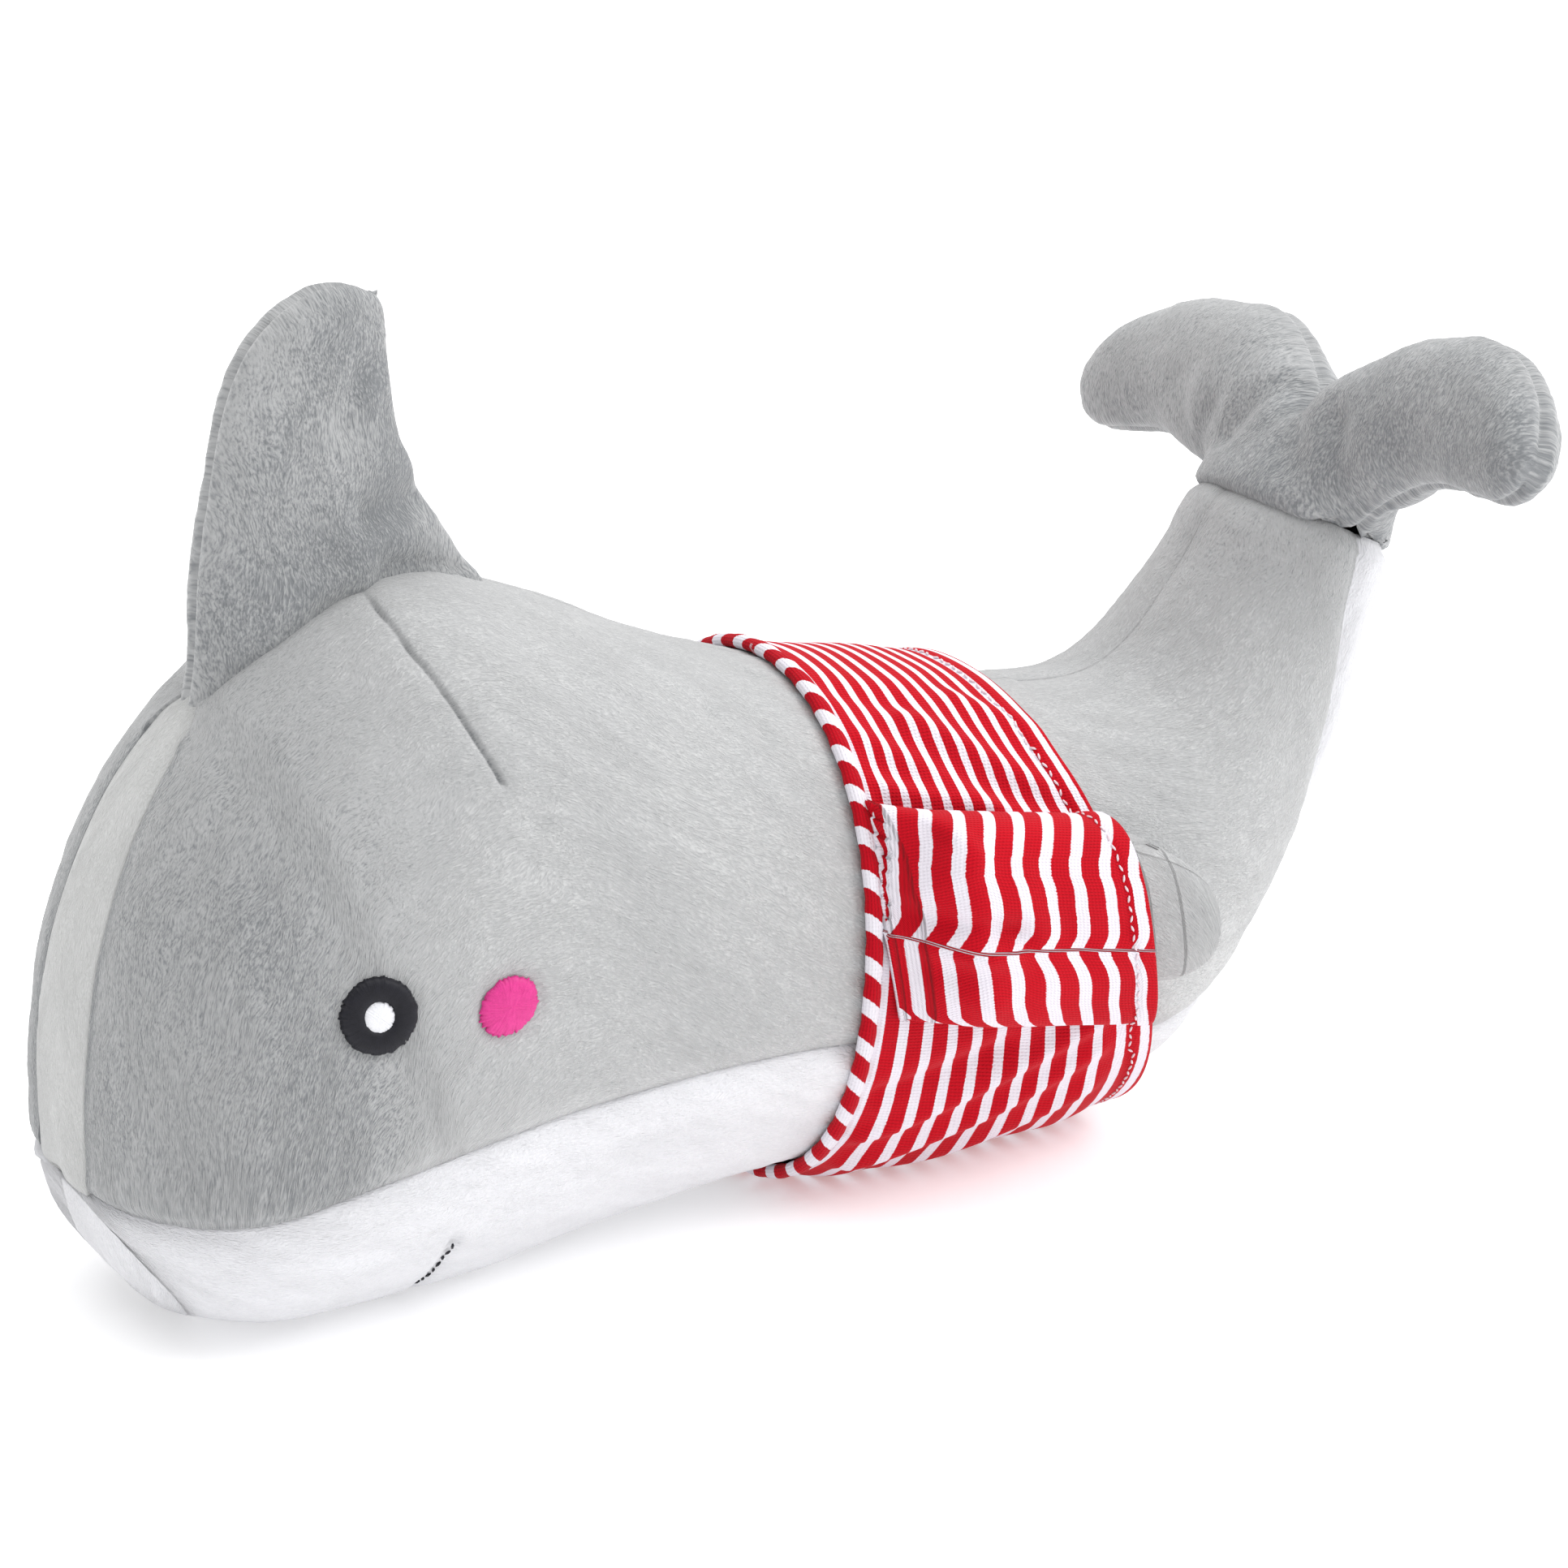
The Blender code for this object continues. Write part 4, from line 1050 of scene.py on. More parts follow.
    def build_belly(self, wardrobe: Wardrobe) -> None:
        """Makes the white belly panel from the chin to the fluke."""
        places = SHAPE.even_places(self.first_place, TAIL_END, self.spacing)
        core = np.array([SHAPE.middle(place) for place in places])
        strips = []
        for place in places:
            row = SHAPE.section(place)
            seam = SHAPE.seam_angle(row)
            seam = seam if seam > 0.01 else 0.0
            strips.append(SHAPE.strip(row, seam, 2 * math.pi - seam, 120))
        patch = Patch(np.array(strips), core)
        across, along, cloth = patch.across(), patch.along(), patch.cloth()
        edge = np.minimum(across, across[:, -1:] - across)
        closed = np.array([SHAPE.seam_angle(SHAPE.section(place)) < 0.01 for place in places])
        edge[closed] = 1.0
        height = self.valley(edge) + self.valley(along[-1:, :] - along)
        smile = np.array([Face.smile_point(share) for share in np.linspace(-1, 1, 40)])
        height = height - 1.0 * MM * bell(distance_to_path(patch.points, smile), 1.5 * MM)
        height = height + self.pile(patch.points, 9.0) * smooth(edge / (2 * MM))
        height = height * smooth(along / (4 * MM))
        patch.raise_by(height)
        patch.lay_on_floor()
        tone_and_painted_light = 0.6 + lumps(patch.points, 22 * MM, 75.0) * 0.1
        piece = patch.build("belly_plush", cloth, tone_and_painted_light, wall=self.wall)
        wardrobe.dress(piece, WHITE_PLUSH, "belly_panel", "tail_belly_panel")
        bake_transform(piece)
        LOG.info("belly panel: %s", piece.name)


# ------------------------------------------------------------------ the face


@dataclass
class Face:
    """The embroidered eyes, cheeks and smile."""

    thread: float = 0.42 * MM
    eye_radius: float = 6.6 * MM
    light_radius: float = 3.0 * MM
    cheek_half: tuple[float, float] = (5.6 * MM, 4.8 * MM)
    cheek_tilt: float = math.radians(30)
    smile_sections: tuple[float, float] = (4.6, 5.35)
    smile_end: float = math.radians(121)

    @staticmethod
    def smile_point(share: float) -> np.ndarray:
        """A point of the smile on the skin, from -1 on the right to 1 on the left."""
        middle, end = Face.smile_sections
        place = middle + (end - middle) * abs(share) ** 1.5
        angle = math.pi - (math.pi - Face.smile_end) * share
        return SHAPE.ring(SHAPE.section(place), np.array([angle]))[0]

    def disc(
        self,
        name: str,
        probe: Probe,
        side: Side,
        centre: Vector,
        halves: tuple[float, float],
        hole: float,
        tilt: float,
        dome: float,
        radial: bool,
    ) -> bpy.types.Object:
        """A satin-stitched oval or ring on the skin.

        Args:
            name: the piece's name.
            probe: the skin that it lies on.
            side: the side of the head.
            centre: about where it is.
            halves: half its length and half its height.
            hole: the radius of its hole, or 0.
            tilt: how far its length is turned up towards the tail.
            dome: how far it stands up.
            radial: whether the threads run outwards instead of straight across.

        Returns:
            The piece.
        """
        spot, normal = probe.from_side(centre.x, centre.z, side.value)
        level = Vector((0, 0, 1)).cross(normal).normalized() * -side.value
        upright = (Vector((0, 0, 1)) - normal * normal.z).normalized()
        bm = bmesh.new()
        rings, turns = 13, 260
        bmesh.ops.create_grid(bm, x_segments=rings, y_segments=turns, size=0.5)
        count = max(24, round(2 * math.pi * halves[0] / self.thread))
        ragged = [noise.noise(Vector((k * 1.7, side.value * 9.0, halves[0] * 900))) for k in range(count)]
        for vert in bm.verts:
            out = vert.co.x + 0.5
            turn = (vert.co.y + 0.5) * 2 * math.pi
            index = int((vert.co.y + 0.5) * count) % count
            rim = 1 + (0.13 * ragged[index] + 0.02) * (0.4 + 0.6 * out) * (out > 0.5)
            inner = hole / halves[0]
            radius = inner + (1 - inner) * out * rim
            a, b = math.cos(turn) * radius * halves[0], math.sin(turn) * radius * halves[1]
            if radial:
                ridge = abs(math.sin(turn * count / 2))
            else:
                slanted = a * math.cos(0.9) + b * math.sin(0.9)
                wave = 0.25 * noise.noise(Vector((a * 700, b * 700, 4.0)))
                ridge = abs(math.sin(math.pi * (slanted / self.thread + wave)))
            inside = (out - 0.5) * 2 if hole else out
            swell = math.sqrt(max(1 - abs(inside) ** 2.6, 0.0))
            lift = dome * swell + 0.11 * MM * ridge * min(1.0, 3 * swell) - 0.35 * MM * (1 - swell)
            x = a * math.cos(tilt) - b * math.sin(tilt)
            y = a * math.sin(tilt) + b * math.cos(tilt)
            above = spot + level * x + upright * y + normal * 20 * MM
            vert.co = probe.below(above, -normal) + normal * lift
        bmesh.ops.remove_doubles(bm, verts=bm.verts, dist=0.004 * MM)
        bmesh.ops.recalc_face_normals(bm, faces=bm.faces)
        bm.normal_update()
        out = sum((face.normal for face in bm.faces), Vector())
        if out.dot(normal) < 0:
            bmesh.ops.reverse_faces(bm, faces=bm.faces)
        return object_from(bm, name, wall=0.5 * MM)

    def build(self, wardrobe: Wardrobe, probe: Probe) -> None:
        """Makes both sides' embroidery and the smile.

        Args:
            wardrobe: dresses the pieces.
            probe: the bare skin of the whole torso.
        """
        for side in Side:
            eye = box_middle(f"{side.word}_eye_ring")
            cheek = box_middle(f"{side.word}_cheek")
            eye_size = (self.eye_radius, self.eye_radius)
            light_size = (self.light_radius, self.light_radius)
            ring = self.disc(
                f"{side.word}_eye_threads", probe, side, eye, eye_size, 2.3 * MM, 0, 0.9 * MM, True
            )
            self.finish(wardrobe, ring, BLACK_THREAD, f"{side.word}_eye_ring")
            spot = eye + Vector((-0.2 * MM, 0, -0.2 * MM))
            light = self.disc(
                f"{side.word}_eye_light_threads", probe, side, spot, light_size, 0, 0, 0.75 * MM, False
            )
            self.finish(wardrobe, light, WHITE_THREAD, f"{side.word}_eye_highlight")
            blush = self.disc(
                f"{side.word}_cheek_threads", probe, side, cheek, self.cheek_half, 0,
                self.cheek_tilt, 0.7 * MM, False,
            )
            self.finish(wardrobe, blush, PINK_THREAD, f"{side.word}_cheek")
        shares = np.linspace(-1, 1, 71)
        path = [Vector(self.smile_point(share)) for share in shares]
        ways = self.smile_normals(path)
        sunk = 0.9 * MM * (1 - smooth((np.abs(shares) - 0.84) / 0.1))
        path = [point - way * float(depth) for point, way, depth in zip(path, ways, sunk)]
        threads = stitches("smile_threads", path, 2.6 * MM, 0.6 * MM, 0.2, ways)
        self.finish(wardrobe, threads, BLACK_THREAD, "smile_stitch")

    def smile_normals(self, path: list[Vector]) -> list[Vector]:
        """The directions in which the smile's stitches stand off the skin."""
        middle = SHAPE.middle(self.smile_sections[1])
        return [(point - Vector((point.x, 0, middle.z))).normalized() for point in path]

    def finish(
        self, wardrobe: Wardrobe, piece: bpy.types.Object, finish: Finish, node: str
    ) -> None:
        """Dresses an embroidered piece and rides it on the torso in its node's place."""
        wardrobe.dress(piece, finish, node)
        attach(piece, "torso")
        LOG.info("embroidery: %s", piece.name)


def box_middle(node: str) -> Vector:
    """The middle of a node's box."""
    low, high = (Vector(corner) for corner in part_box(node))
    return (low + high) / 2


def stitches(
    name: str,
    path: list[Vector],
    pitch: float,
    diameter: float,
    lean: float,
    normals: list[Vector],
    lift: float = 0.0,
) -> bpy.types.Object:
    """A row of separate stitches along a path.

    Args:
        name: the piece's name.
        path: the points that the row follows.
        pitch: the distance from one stitch to the next.
        diameter: the thread's diameter.
        lean: how far each stitch leans across the path, as a share of its length.
        normals: the surface's outward direction at each point.
        lift: how far the row stands off the path.

    Returns:
        The piece, one mesh of small round-ended stitches.
    """
    points = np.array([tuple(point) for point in path])
    steps = np.linalg.norm(np.diff(points, axis=0), axis=1)
    run = np.concatenate([[0.0], np.cumsum(steps)])
    outs = np.array([tuple(normal) for normal in normals])
    count = max(1, int(run[-1] / pitch))
    bm = bmesh.new()
    for index in range(count):
        centre, ahead, behind, out = (
            np.array([np.interp(spot, run, values[:, k]) for k in range(3)])
            for spot, values in (
                ((index + 0.5) * pitch, points),
                ((index + 0.9) * pitch, points),
                ((index + 0.1) * pitch, points),
                ((index + 0.5) * pitch, outs),
            )
        )
        along = Vector(ahead - behind)
        length = along.length
        along.normalize()
        out_way = Vector(out).normalized()
        side = along.cross(out_way).normalized()
        slant = (along + side * lean * (1 if index % 2 else -1)).normalized()
        ball = bmesh.ops.create_icosphere(bm, subdivisions=1, radius=0.5)
        across = slant.cross(out_way).normalized()
        turn = Matrix((slant * length, across * diameter, out_way * diameter)).transposed()
        place = Vector(centre) + out_way * lift
        for vert in ball["verts"]:
            vert.co = turn @ vert.co + place
    bmesh.ops.recalc_face_normals(bm, faces=bm.faces)
    return object_from(bm, name)


def hem_stitches(
    name: str, path: list[Vector], normals: list[Vector], lift: float
) -> bpy.types.Object:
    """A row of hem stitches along a path, lifted off it."""
    return stitches(name, path, HEM_PITCH, HEM_THREAD_DIAMETER, HEM_STITCH_LEAN, normals, lift)


# ------------------------------------------------------------------ fin and fluke


@dataclass(frozen=True)
class Dent:
    """A crease in padded cloth, from one place of its pattern to another."""

    start: tuple[float, float]
    end: tuple[float, float]
    depth: float
    width: float

    def press(self, places: np.ndarray) -> np.ndarray:
        """How far the crease lowers the cloth, with a soft rise beside it.

        Args:
            places: places on the pattern, in millimetres.

        Returns:
            The height at each place, in metres.
        """
        away = distance_to_path(places, np.array([self.start, self.end]))
        beside = bell(away - 2.1 * self.width, self.width * 1.1) * 0.28
        return self.depth * MM * (beside - bell(away, self.width))


@dataclass
class DorsalFin:
    """The padded fin on the head, sewn round its edge and puckered at its root."""

    height: float = 65.5 * MM
    base_thickness: float = 21 * MM
    tip_thickness: float = 11 * MM
    sunk: float = 3.0 * MM
    wall: float = 1.2 * MM
    first_level: float = 0.03
    tip_bow: float = 3.4 * MM
    seam_depth: float = 1.0 * MM
    flop_length: float = 16 * MM
    dents: tuple[Dent, ...] = (
        Dent((30, 2), (35, 13), 1.9, 3.2),
        Dent((44, 3), (47, 10), 1.7, 2.8),
        Dent((16, 3), (21, 11), 1.1, 2.6),
        Dent((36, 27), (52, 24), 1.5, 2.7),
        Dent((33, 36), (46, 38), 1.6, 2.6),
        Dent((30, 52), (34, 60), 1.1, 2.6),
        Dent((12, 22), (22, 30), 0.6, 4.0),
    )

    def base_point(self, share: float) -> np.ndarray:
        """The x and z of the root line at a share from front to rear."""
        place = FIN_FRONT + (FIN_REAR - FIN_FRONT) * share
        row = SHAPE.section(place)
        return row[0:2] - SHAPE.up(row) * self.sunk

    def build(self, wardrobe: Wardrobe) -> None:
        """Makes the fin and its filling."""
        front, rear = self.base_point(0.0), self.base_point(1.0)
        turns = np.linspace(0, 2 * math.pi, 150)
        levels = np.concatenate([[0.0], np.linspace(self.first_level, 1.0, 74)])
        shares = (1 - np.cos(turns)) / 2
        bow = np.array([self.base_point(s) - (front + (rear - front) * s) for s in shares])
        points = np.zeros((len(levels), len(turns), 3))
        cloth = np.zeros((len(levels), len(turns), 2))
        for row, level in enumerate(levels):
            rung = level * (len(FIN_RUNGS) - 1)
            low = catmull_rom([low for low, _ in FIN_RUNGS], rung)
            high = catmull_rom([high for _, high in FIN_RUNGS], rung)
            edges = [
                front + (rear - front) * share + np.array([0.0, self.height * up])
                for share, up in (low, high)
            ]
            flat = edges[0] + (edges[1] - edges[0]) * shares[:, None]
            flat = flat + bow * (1 - level) ** 3
            flat[:, 1] += self.tip_bow * np.sin(math.pi * shares) * level**3
            thick = self.base_thickness + (self.tip_thickness - self.base_thickness) * level
            full = (0.66 + 0.34 * smooth(level / 0.2)) * rounded(1 - level, 0.13)
            across = np.abs(np.sin(turns)) ** 0.85 * np.sign(np.sin(turns))
            points[row] = np.column_stack([flat[:, 0], -across * thick / 2 * full, flat[:, 1]])
            cloth[row] = (flat - front) / MM
        core = points.mean(axis=1)
        patch = Patch(points, core)
        from_front, from_rear = patch.from_column(0), patch.from_column(len(turns) // 2)
        from_top = patch.along()[-1:, :] - patch.along()
        seam = np.minimum(np.minimum(from_front, from_rear), from_top)
        height = -self.seam_depth * bell(seam, 1.0 * MM) + 0.35 * MM * bell(seam - 3 * MM, 2 * MM)
        fade = smooth(seam / (5 * MM))
        for dent in self.dents:
            height = height + dent.press(cloth) * fade
        height = height + lumps(points, 14 * MM, 21.0) * 0.6 * MM * fade
        height = height + BodySkin().pile(points, 23.0) * smooth(seam / (2 * MM))
        patch.raise_by(height)
        patch.sew_end(-1)
        # Painted shade: the fin is painted darker overall, darker still in the root's puckers and an
        # upper fold, with painted sheen near the front edge and random tone.
        shaded = distance_to_path(cloth, np.array([(26, 4), (38, 12), (50, 11)]))
        upper = distance_to_path(cloth, np.array([(34, 30), (44, 44), (36, 56)]))
        tone_and_painted_light = 0.24 + 0.12 * bell(from_front, 11 * MM) + lumps(points, 13 * MM, 77.0) * 0.1
        tone_and_painted_light = tone_and_painted_light - 0.24 * bell(shaded, 7.0) - 0.14 * bell(upper, 6.0)
        piece = patch.build("dorsal_fin_plush", cloth[..., ::-1], tone_and_painted_light, wall=self.wall)
        wardrobe.dress(piece, GREY_PLUSH, "dorsal_fin_left_cover", "dorsal_fin_right_cover")
        root = (front + rear) / 2 + np.array([0.0, 6 * MM])
        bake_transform(piece)
        filling = patch.build_filling(wardrobe, "fin_filling", "dorsal_fin_stuffing", (-1,))
        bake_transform(filling)
        LOG.info("fin: %s", piece.name)


@dataclass
class Fluke:
    """The padded fluke, whose middle is sewn to the tail all round."""

    span: float = 138 * MM
    depth: float = 40 * MM
    thickness: float = 27 * MM
    curl: float = 5 * MM
    wall: float = 1.2 * MM
    far_roll: float = math.radians(3.0)
    near_roll: float = math.radians(5.0)
    far_reach: float = 1.02
    near_reach: float = 0.945
    tuck: float = 3.2 * MM
    trunk_half_width: float = 19.8 * MM
    trunk_reach: float = 27 * MM
    flap_length: float = 14 * MM
    dents: tuple[Dent, ...] = (
        Dent((-24, 4), (-18, 18), 1.9, 3.4),
        Dent((25, 4), (20, 14), 1.3, 3.0),
        Dent((-4, 20), (-12, 8), 1.0, 3.0),
        Dent((6, 22), (12, 10), 1.3, 2.8),
        Dent((27, 8), (34, 20), 1.0, 3.2),
        Dent((-30, 8), (-36, 18), 0.8, 3.2),
    )

    def build(self, wardrobe: Wardrobe) -> None:
        """Makes the fluke and its filling."""
        end_row = SHAPE.section(TAIL_END)
        across_tail = SHAPE.up(end_row)
        outwards = np.array([across_tail[1], -across_tail[0]])
        start = (end_row[0:2] + end_row[2:4]) / 2
        trunk_half = np.linalg.norm(end_row[0:2] - end_row[2:4]) / 2
        rungs = [(-share, low, high) for share, low, high in FLUKE_RUNGS[:0:-1]]
        rungs = np.array(rungs + list(FLUKE_RUNGS))
        stations = np.linspace(0, 1, 170)
        turns = np.linspace(0, 2 * math.pi, 130)
        shares = (1 - np.cos(turns)) / 2
        half = self.span / 2
        flat = np.zeros((len(stations), len(turns), 2))
        height = np.zeros((len(stations), len(turns)))
        for row, station in enumerate(stations):
            share, low, high = catmull_rom(rungs, station * (len(rungs) - 1))
            reach = half * (self.near_reach if share < 0 else self.far_reach)
            tip = 0.03 * half * (station**8 - (1 - station) ** 8) * np.sin(math.pi * shares)
            a = share * reach + tip
            off_tail = smooth((abs(share * reach) / self.trunk_half_width - 0.92) / 0.35)
            low = low * float(off_tail)
            b = (low + (high - low) * shares) * self.depth
            over_tail = smooth((0.97 - np.abs(a) / self.trunk_half_width) / 0.1)
            b = b - self.tuck * over_tail * (1 - smooth(b / (6 * MM)))
            a = a * (1 - 0.09 * smooth((0.6 * MM - b) / (2 * MM)))
            pad = self.thickness * (1 - 0.42 * abs(2 * station - 1) ** 2) / 2
            pad = pad * rounded(station, 0.1) * rounded(1 - station, 0.1)
            pad = pad * np.abs(np.sin(turns)) ** 0.9
            aside = np.abs(a / self.trunk_half_width) ** SECTION_SQUARENESS
            round_end = np.clip(1 - aside, 0, 1) ** (1 / SECTION_SQUARENESS)
            trunk = trunk_half * round_end * (1 - smooth(b / self.trunk_reach))
            trunk = trunk * np.where(shares > 0.5, np.abs(np.sin(turns)), 1.0)
            thick = (pad**5 + trunk**5) ** 0.2
            thick = thick * (1 - 0.12 * over_tail * smooth((0.6 * MM - b) / (2 * MM)))
            flat[row] = np.column_stack([a, b])
            height[row] = thick * np.where(np.sin(turns) >= 0, 1, -1)
            height[row, -1] = -abs(height[row, -1])
        a = flat[..., 0]
        roll = self.near_roll + (self.far_roll - self.near_roll) * smooth(a / half + 0.5)
        tilt = roll * smooth((np.abs(a) - self.trunk_half_width * 0.8) / (20 * MM))
        b = flat[..., 1] - a * np.sin(tilt)
        points = np.zeros((*a.shape, 3))
        points[..., 0] = start[0] + outwards[0] * b + across_tail[0] * height
        points[..., 0] -= self.curl * (a / half) ** 2
        points[..., 2] = start[1] + outwards[1] * b + across_tail[1] * height
        points[..., 1] = a
        core = points.mean(axis=1)
        patch = Patch(points, core)
        low_gap = np.linalg.norm(points[:, 0] - points[:, -1], axis=-1)
        closed = (low_gap[:, None] < 2 * MM).astype(float)
        from_low = np.minimum(patch.from_column(0), patch.from_column(-1))
        from_high = patch.from_column(len(turns) // 2)
        along = patch.along()
        from_tips = np.minimum(along, along[-1:, :] - along)
        seam = np.minimum(np.minimum(from_high, from_tips), from_low)
        relief = -1.0 * MM * bell(seam, 1.0 * MM) + 0.3 * MM * bell(seam - 3 * MM, 2 * MM)
        relief = relief - 0.5 * MM * bell(from_low, 1.6 * MM) * (1 - closed)
        fade = smooth(seam / (4 * MM))
        for dent in self.dents:
            relief = relief + dent.press(flat / MM) * fade
        relief = relief + lumps(points, 15 * MM, 31.0) * 0.7 * MM * fade
        relief = relief + BodySkin().pile(points, 33.0) * smooth(seam / (2 * MM))
        patch.raise_by(relief)
        patch.sew_end(0)
        patch.sew_end(-1)
        cloth = np.stack([b, a], axis=-1) / MM
        # Painted light and shade: the near lobe and the fluke's root are painted darker, with random
        # tone.
        tone_and_painted_light = 0.10 + 0.15 * smooth((a + 14 * MM) / (30 * MM)) + 0.14 * smooth(b / self.depth)
        tone_and_painted_light = tone_and_painted_light + lumps(points, 16 * MM, 79.0) * 0.1
        piece = patch.build("fluke_plush", cloth, tone_and_painted_light, wall=self.wall)
        wardrobe.dress(piece, GREY_PLUSH, "fluke_front_cover", "fluke_back_cover")
        seam_middle = SHAPE.middle(TAIL_END)
        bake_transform(piece)
        filling = patch.build_filling(wardrobe, "fluke_filling", "fluke_stuffing", (0, -1))
        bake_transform(filling)
        LOG.info("fluke: %s", piece.name)


# ------------------------------------------------------------------ the shirt


@dataclass
class Shirt:
    """The knitted shirt: body, rolled neck binding and hem stitching."""

    start: float = 10.06
    collar_ease: float = 1.9 * MM
    hem_ease: float = 4.0 * MM
    floor_press: float = 1.8 * MM
    repeats: float = 11.5
    wall: float = 1.0 * MM
    hem_allowance: float = 4.4 * MM
    binding_radius: float = 1.5 * MM
    binding_repeat: float = 7.9 * MM
    folds: tuple[Dent, ...] = (
        Dent((4, 112), (50, 90), -1.5, 2.6),
        Dent((8, 124), (52, 97), -1.3, 2.8),
        Dent((22, 133), (54, 108), -1.1, 3.0),
        Dent((3, 101), (30, 92), 1.3, 2.4),
        Dent((4, 30), (26, 44), -0.8, 2.6),
        Dent((16, 26), (40, 41), -0.9, 2.6),
        Dent((6, 41), (42, 49), -1.3, 2.4),
        Dent((30, 20), (48, 30), -0.8, 2.6),
        Dent((2, 18), (16, 22), 0.6, 3.0),
    )

    def row(self, place: float) -> np.ndarray:
        """The shirt's section at a place along the body."""
        row = SHAPE.section(place)
        share = (place - COLLAR) / (HEM - COLLAR)
        ease = self.collar_ease + (self.hem_ease - self.collar_ease) * share
        lift = (self.floor_press + 1.3 * MM) * float(smooth((share - 0.8) / 0.2))
        to_floor = row[3] / SHAPE.up(row)[1] + self.floor_press - lift
        settle = float(smooth(share / 0.3))
        return SHAPE.grown(row, ease, ease, ease + (to_floor - ease) * settle)

    def plain(self, rows: int, columns: int) -> tuple[np.ndarray, np.ndarray]:
        """The shirt without folds: its grid of points and each row's middle."""
        places = np.linspace(self.start, HEM, rows)
        angles = np.linspace(0, 2 * math.pi, columns)
        points = np.array([SHAPE.ring(self.row(place), angles) for place in places])
        return points, np.array([SHAPE.middle(place) for place in places])

    def build(self, wardrobe: Wardrobe) -> Probe:
        """Makes the shirt's body, binding and hem stitching.

        Args:
            wardrobe: dresses the pieces.

        Returns:
            A probe of the shirt's plain surface, for the sleeves.
        """
        points, core = self.plain(84, 420)
        probe = Probe(points)
        patch = Patch(points, core)
        along, across = patch.along(), patch.across()
        pattern = patch.cloth()
        other = np.stack([along, across[:, -1:] - across], axis=-1) / MM
        height = np.zeros(points.shape[:2])
        for fold in self.folds:
            height = height + fold.press(pattern) + 0.8 * fold.press(other + 1.5)
        from_hem = along[-1:, :] - along
        free = smooth(along / (5 * MM)) * (0.35 + 0.65 * smooth(from_hem / (9 * MM)))
        height = height * free + lumps(points, 16 * MM, 41.0) * 0.5 * MM * free
        height = height + 0.45 * MM * smooth((self.hem_allowance - from_hem) / (0.8 * MM) + 0.5)
        height = height - 0.35 * MM * bell(from_hem - self.hem_allowance, 0.7 * MM)
        height = height - 0.5 * MM * bell(along, 1.2 * MM)
        under = smooth((points[..., 2] - 0.5 * MM) / (5 * MM))
        patch.raise_by(height * under)
        patch.lay_on_floor()
        share = along / along[-1:, :]
        wave = lumps(points, 22 * MM, 45.0) * 0.12
        stripe = share * self.repeats + 0.3 + wave * smooth(share * 6) + height / MM * 0.09
        piece = patch.build("shirt_knit", pattern, stripe, wall=self.wall)
        wardrobe.dress(piece, STRIPED_KNIT, "shirt_body")
        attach(piece, "torso")
        self.build_binding(wardrobe)
        self.build_hem(wardrobe, patch, from_hem)
        return probe

    def build_binding(self, wardrobe: Wardrobe) -> None:
        """Makes the rolled binding round the neck."""
        radius = self.binding_radius
        out = radius + 0.3 * MM
        row = SHAPE.grown(SHAPE.section(COLLAR), out, out, out)
        turns = np.linspace(0, 2 * math.pi, 361)
        ring = SHAPE.ring(row, turns)
        ring[:, 2] = np.maximum(ring[:, 2], radius + 2 * FLOOR_CLEARANCE)
        middle = ring.mean(axis=0)
        ahead = np.gradient(ring, axis=0)
        ahead /= np.linalg.norm(ahead, axis=1, keepdims=True)
        out_way = ring - middle
        out_way -= (out_way * ahead).sum(axis=1, keepdims=True) * ahead
        out_way /= np.linalg.norm(out_way, axis=1, keepdims=True)
        side_way = np.cross(ahead, out_way)
        run = np.concatenate([[0], np.cumsum(np.linalg.norm(np.diff(ring, axis=0), axis=1))])
        repeats = round(run[-1] / self.binding_repeat)
        phase = run / run[-1] * repeats
        spins = np.linspace(0, 2 * math.pi, 25)
        pucker = 1 + 0.05 * np.sin(2 * math.pi * phase)[:, None] + 0.03 * np.sin(
            4 * math.pi * phase + 1.0
        )[:, None]
        reach = radius * pucker * (1 - 0.1 * np.cos(2 * spins))[None, :]
        points = (
            ring[:, None, :]
            + out_way[:, None, :] * (np.cos(spins)[None, :] * reach)[..., None]
            + side_way[:, None, :] * (np.sin(spins)[None, :] * reach)[..., None]
        )
        patch = Patch(points, ring)
        cloth = np.stack(
            [np.repeat(run[:, None], len(spins), 1), np.repeat(spins[None, :] * radius, len(run), 0)],
            axis=-1,
        ) / MM
        stripe = phase[:, None] + 0.16 * np.sin(spins)[None, :]
        piece = patch.build("neck_roll", cloth, stripe)
        wardrobe.dress(piece, BINDING_KNIT, "neck_binding")
        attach(piece, "torso")
        LOG.info("binding: %s", piece.name)

    def build_hem(self, wardrobe: Wardrobe, patch: Patch, from_hem: np.ndarray) -> None:
        """Makes the stitches of the shirt's hem.

        Args:
            wardrobe: dresses the piece.
            patch: the finished shirt body.
            from_hem: how far each of its points is from the hem's edge.
        """
        normals = patch.normals()
        row = np.argmin(np.abs(from_hem - self.hem_allowance), axis=0)
        columns = np.arange(patch.points.shape[1])
        path = [Vector(patch.points[r, c]) for r, c in zip(row, columns)]
        ways = [Vector(normals[r, c]) for r, c in zip(row, columns)]
        piece = hem_stitches("shirt_hem_stitches", path, ways, 0.18 * MM)
        wardrobe.dress(piece, HEM_THREAD, "shirt_hem_thread")
        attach(piece, "torso")
        LOG.info("hem stitches: %s", piece.name)


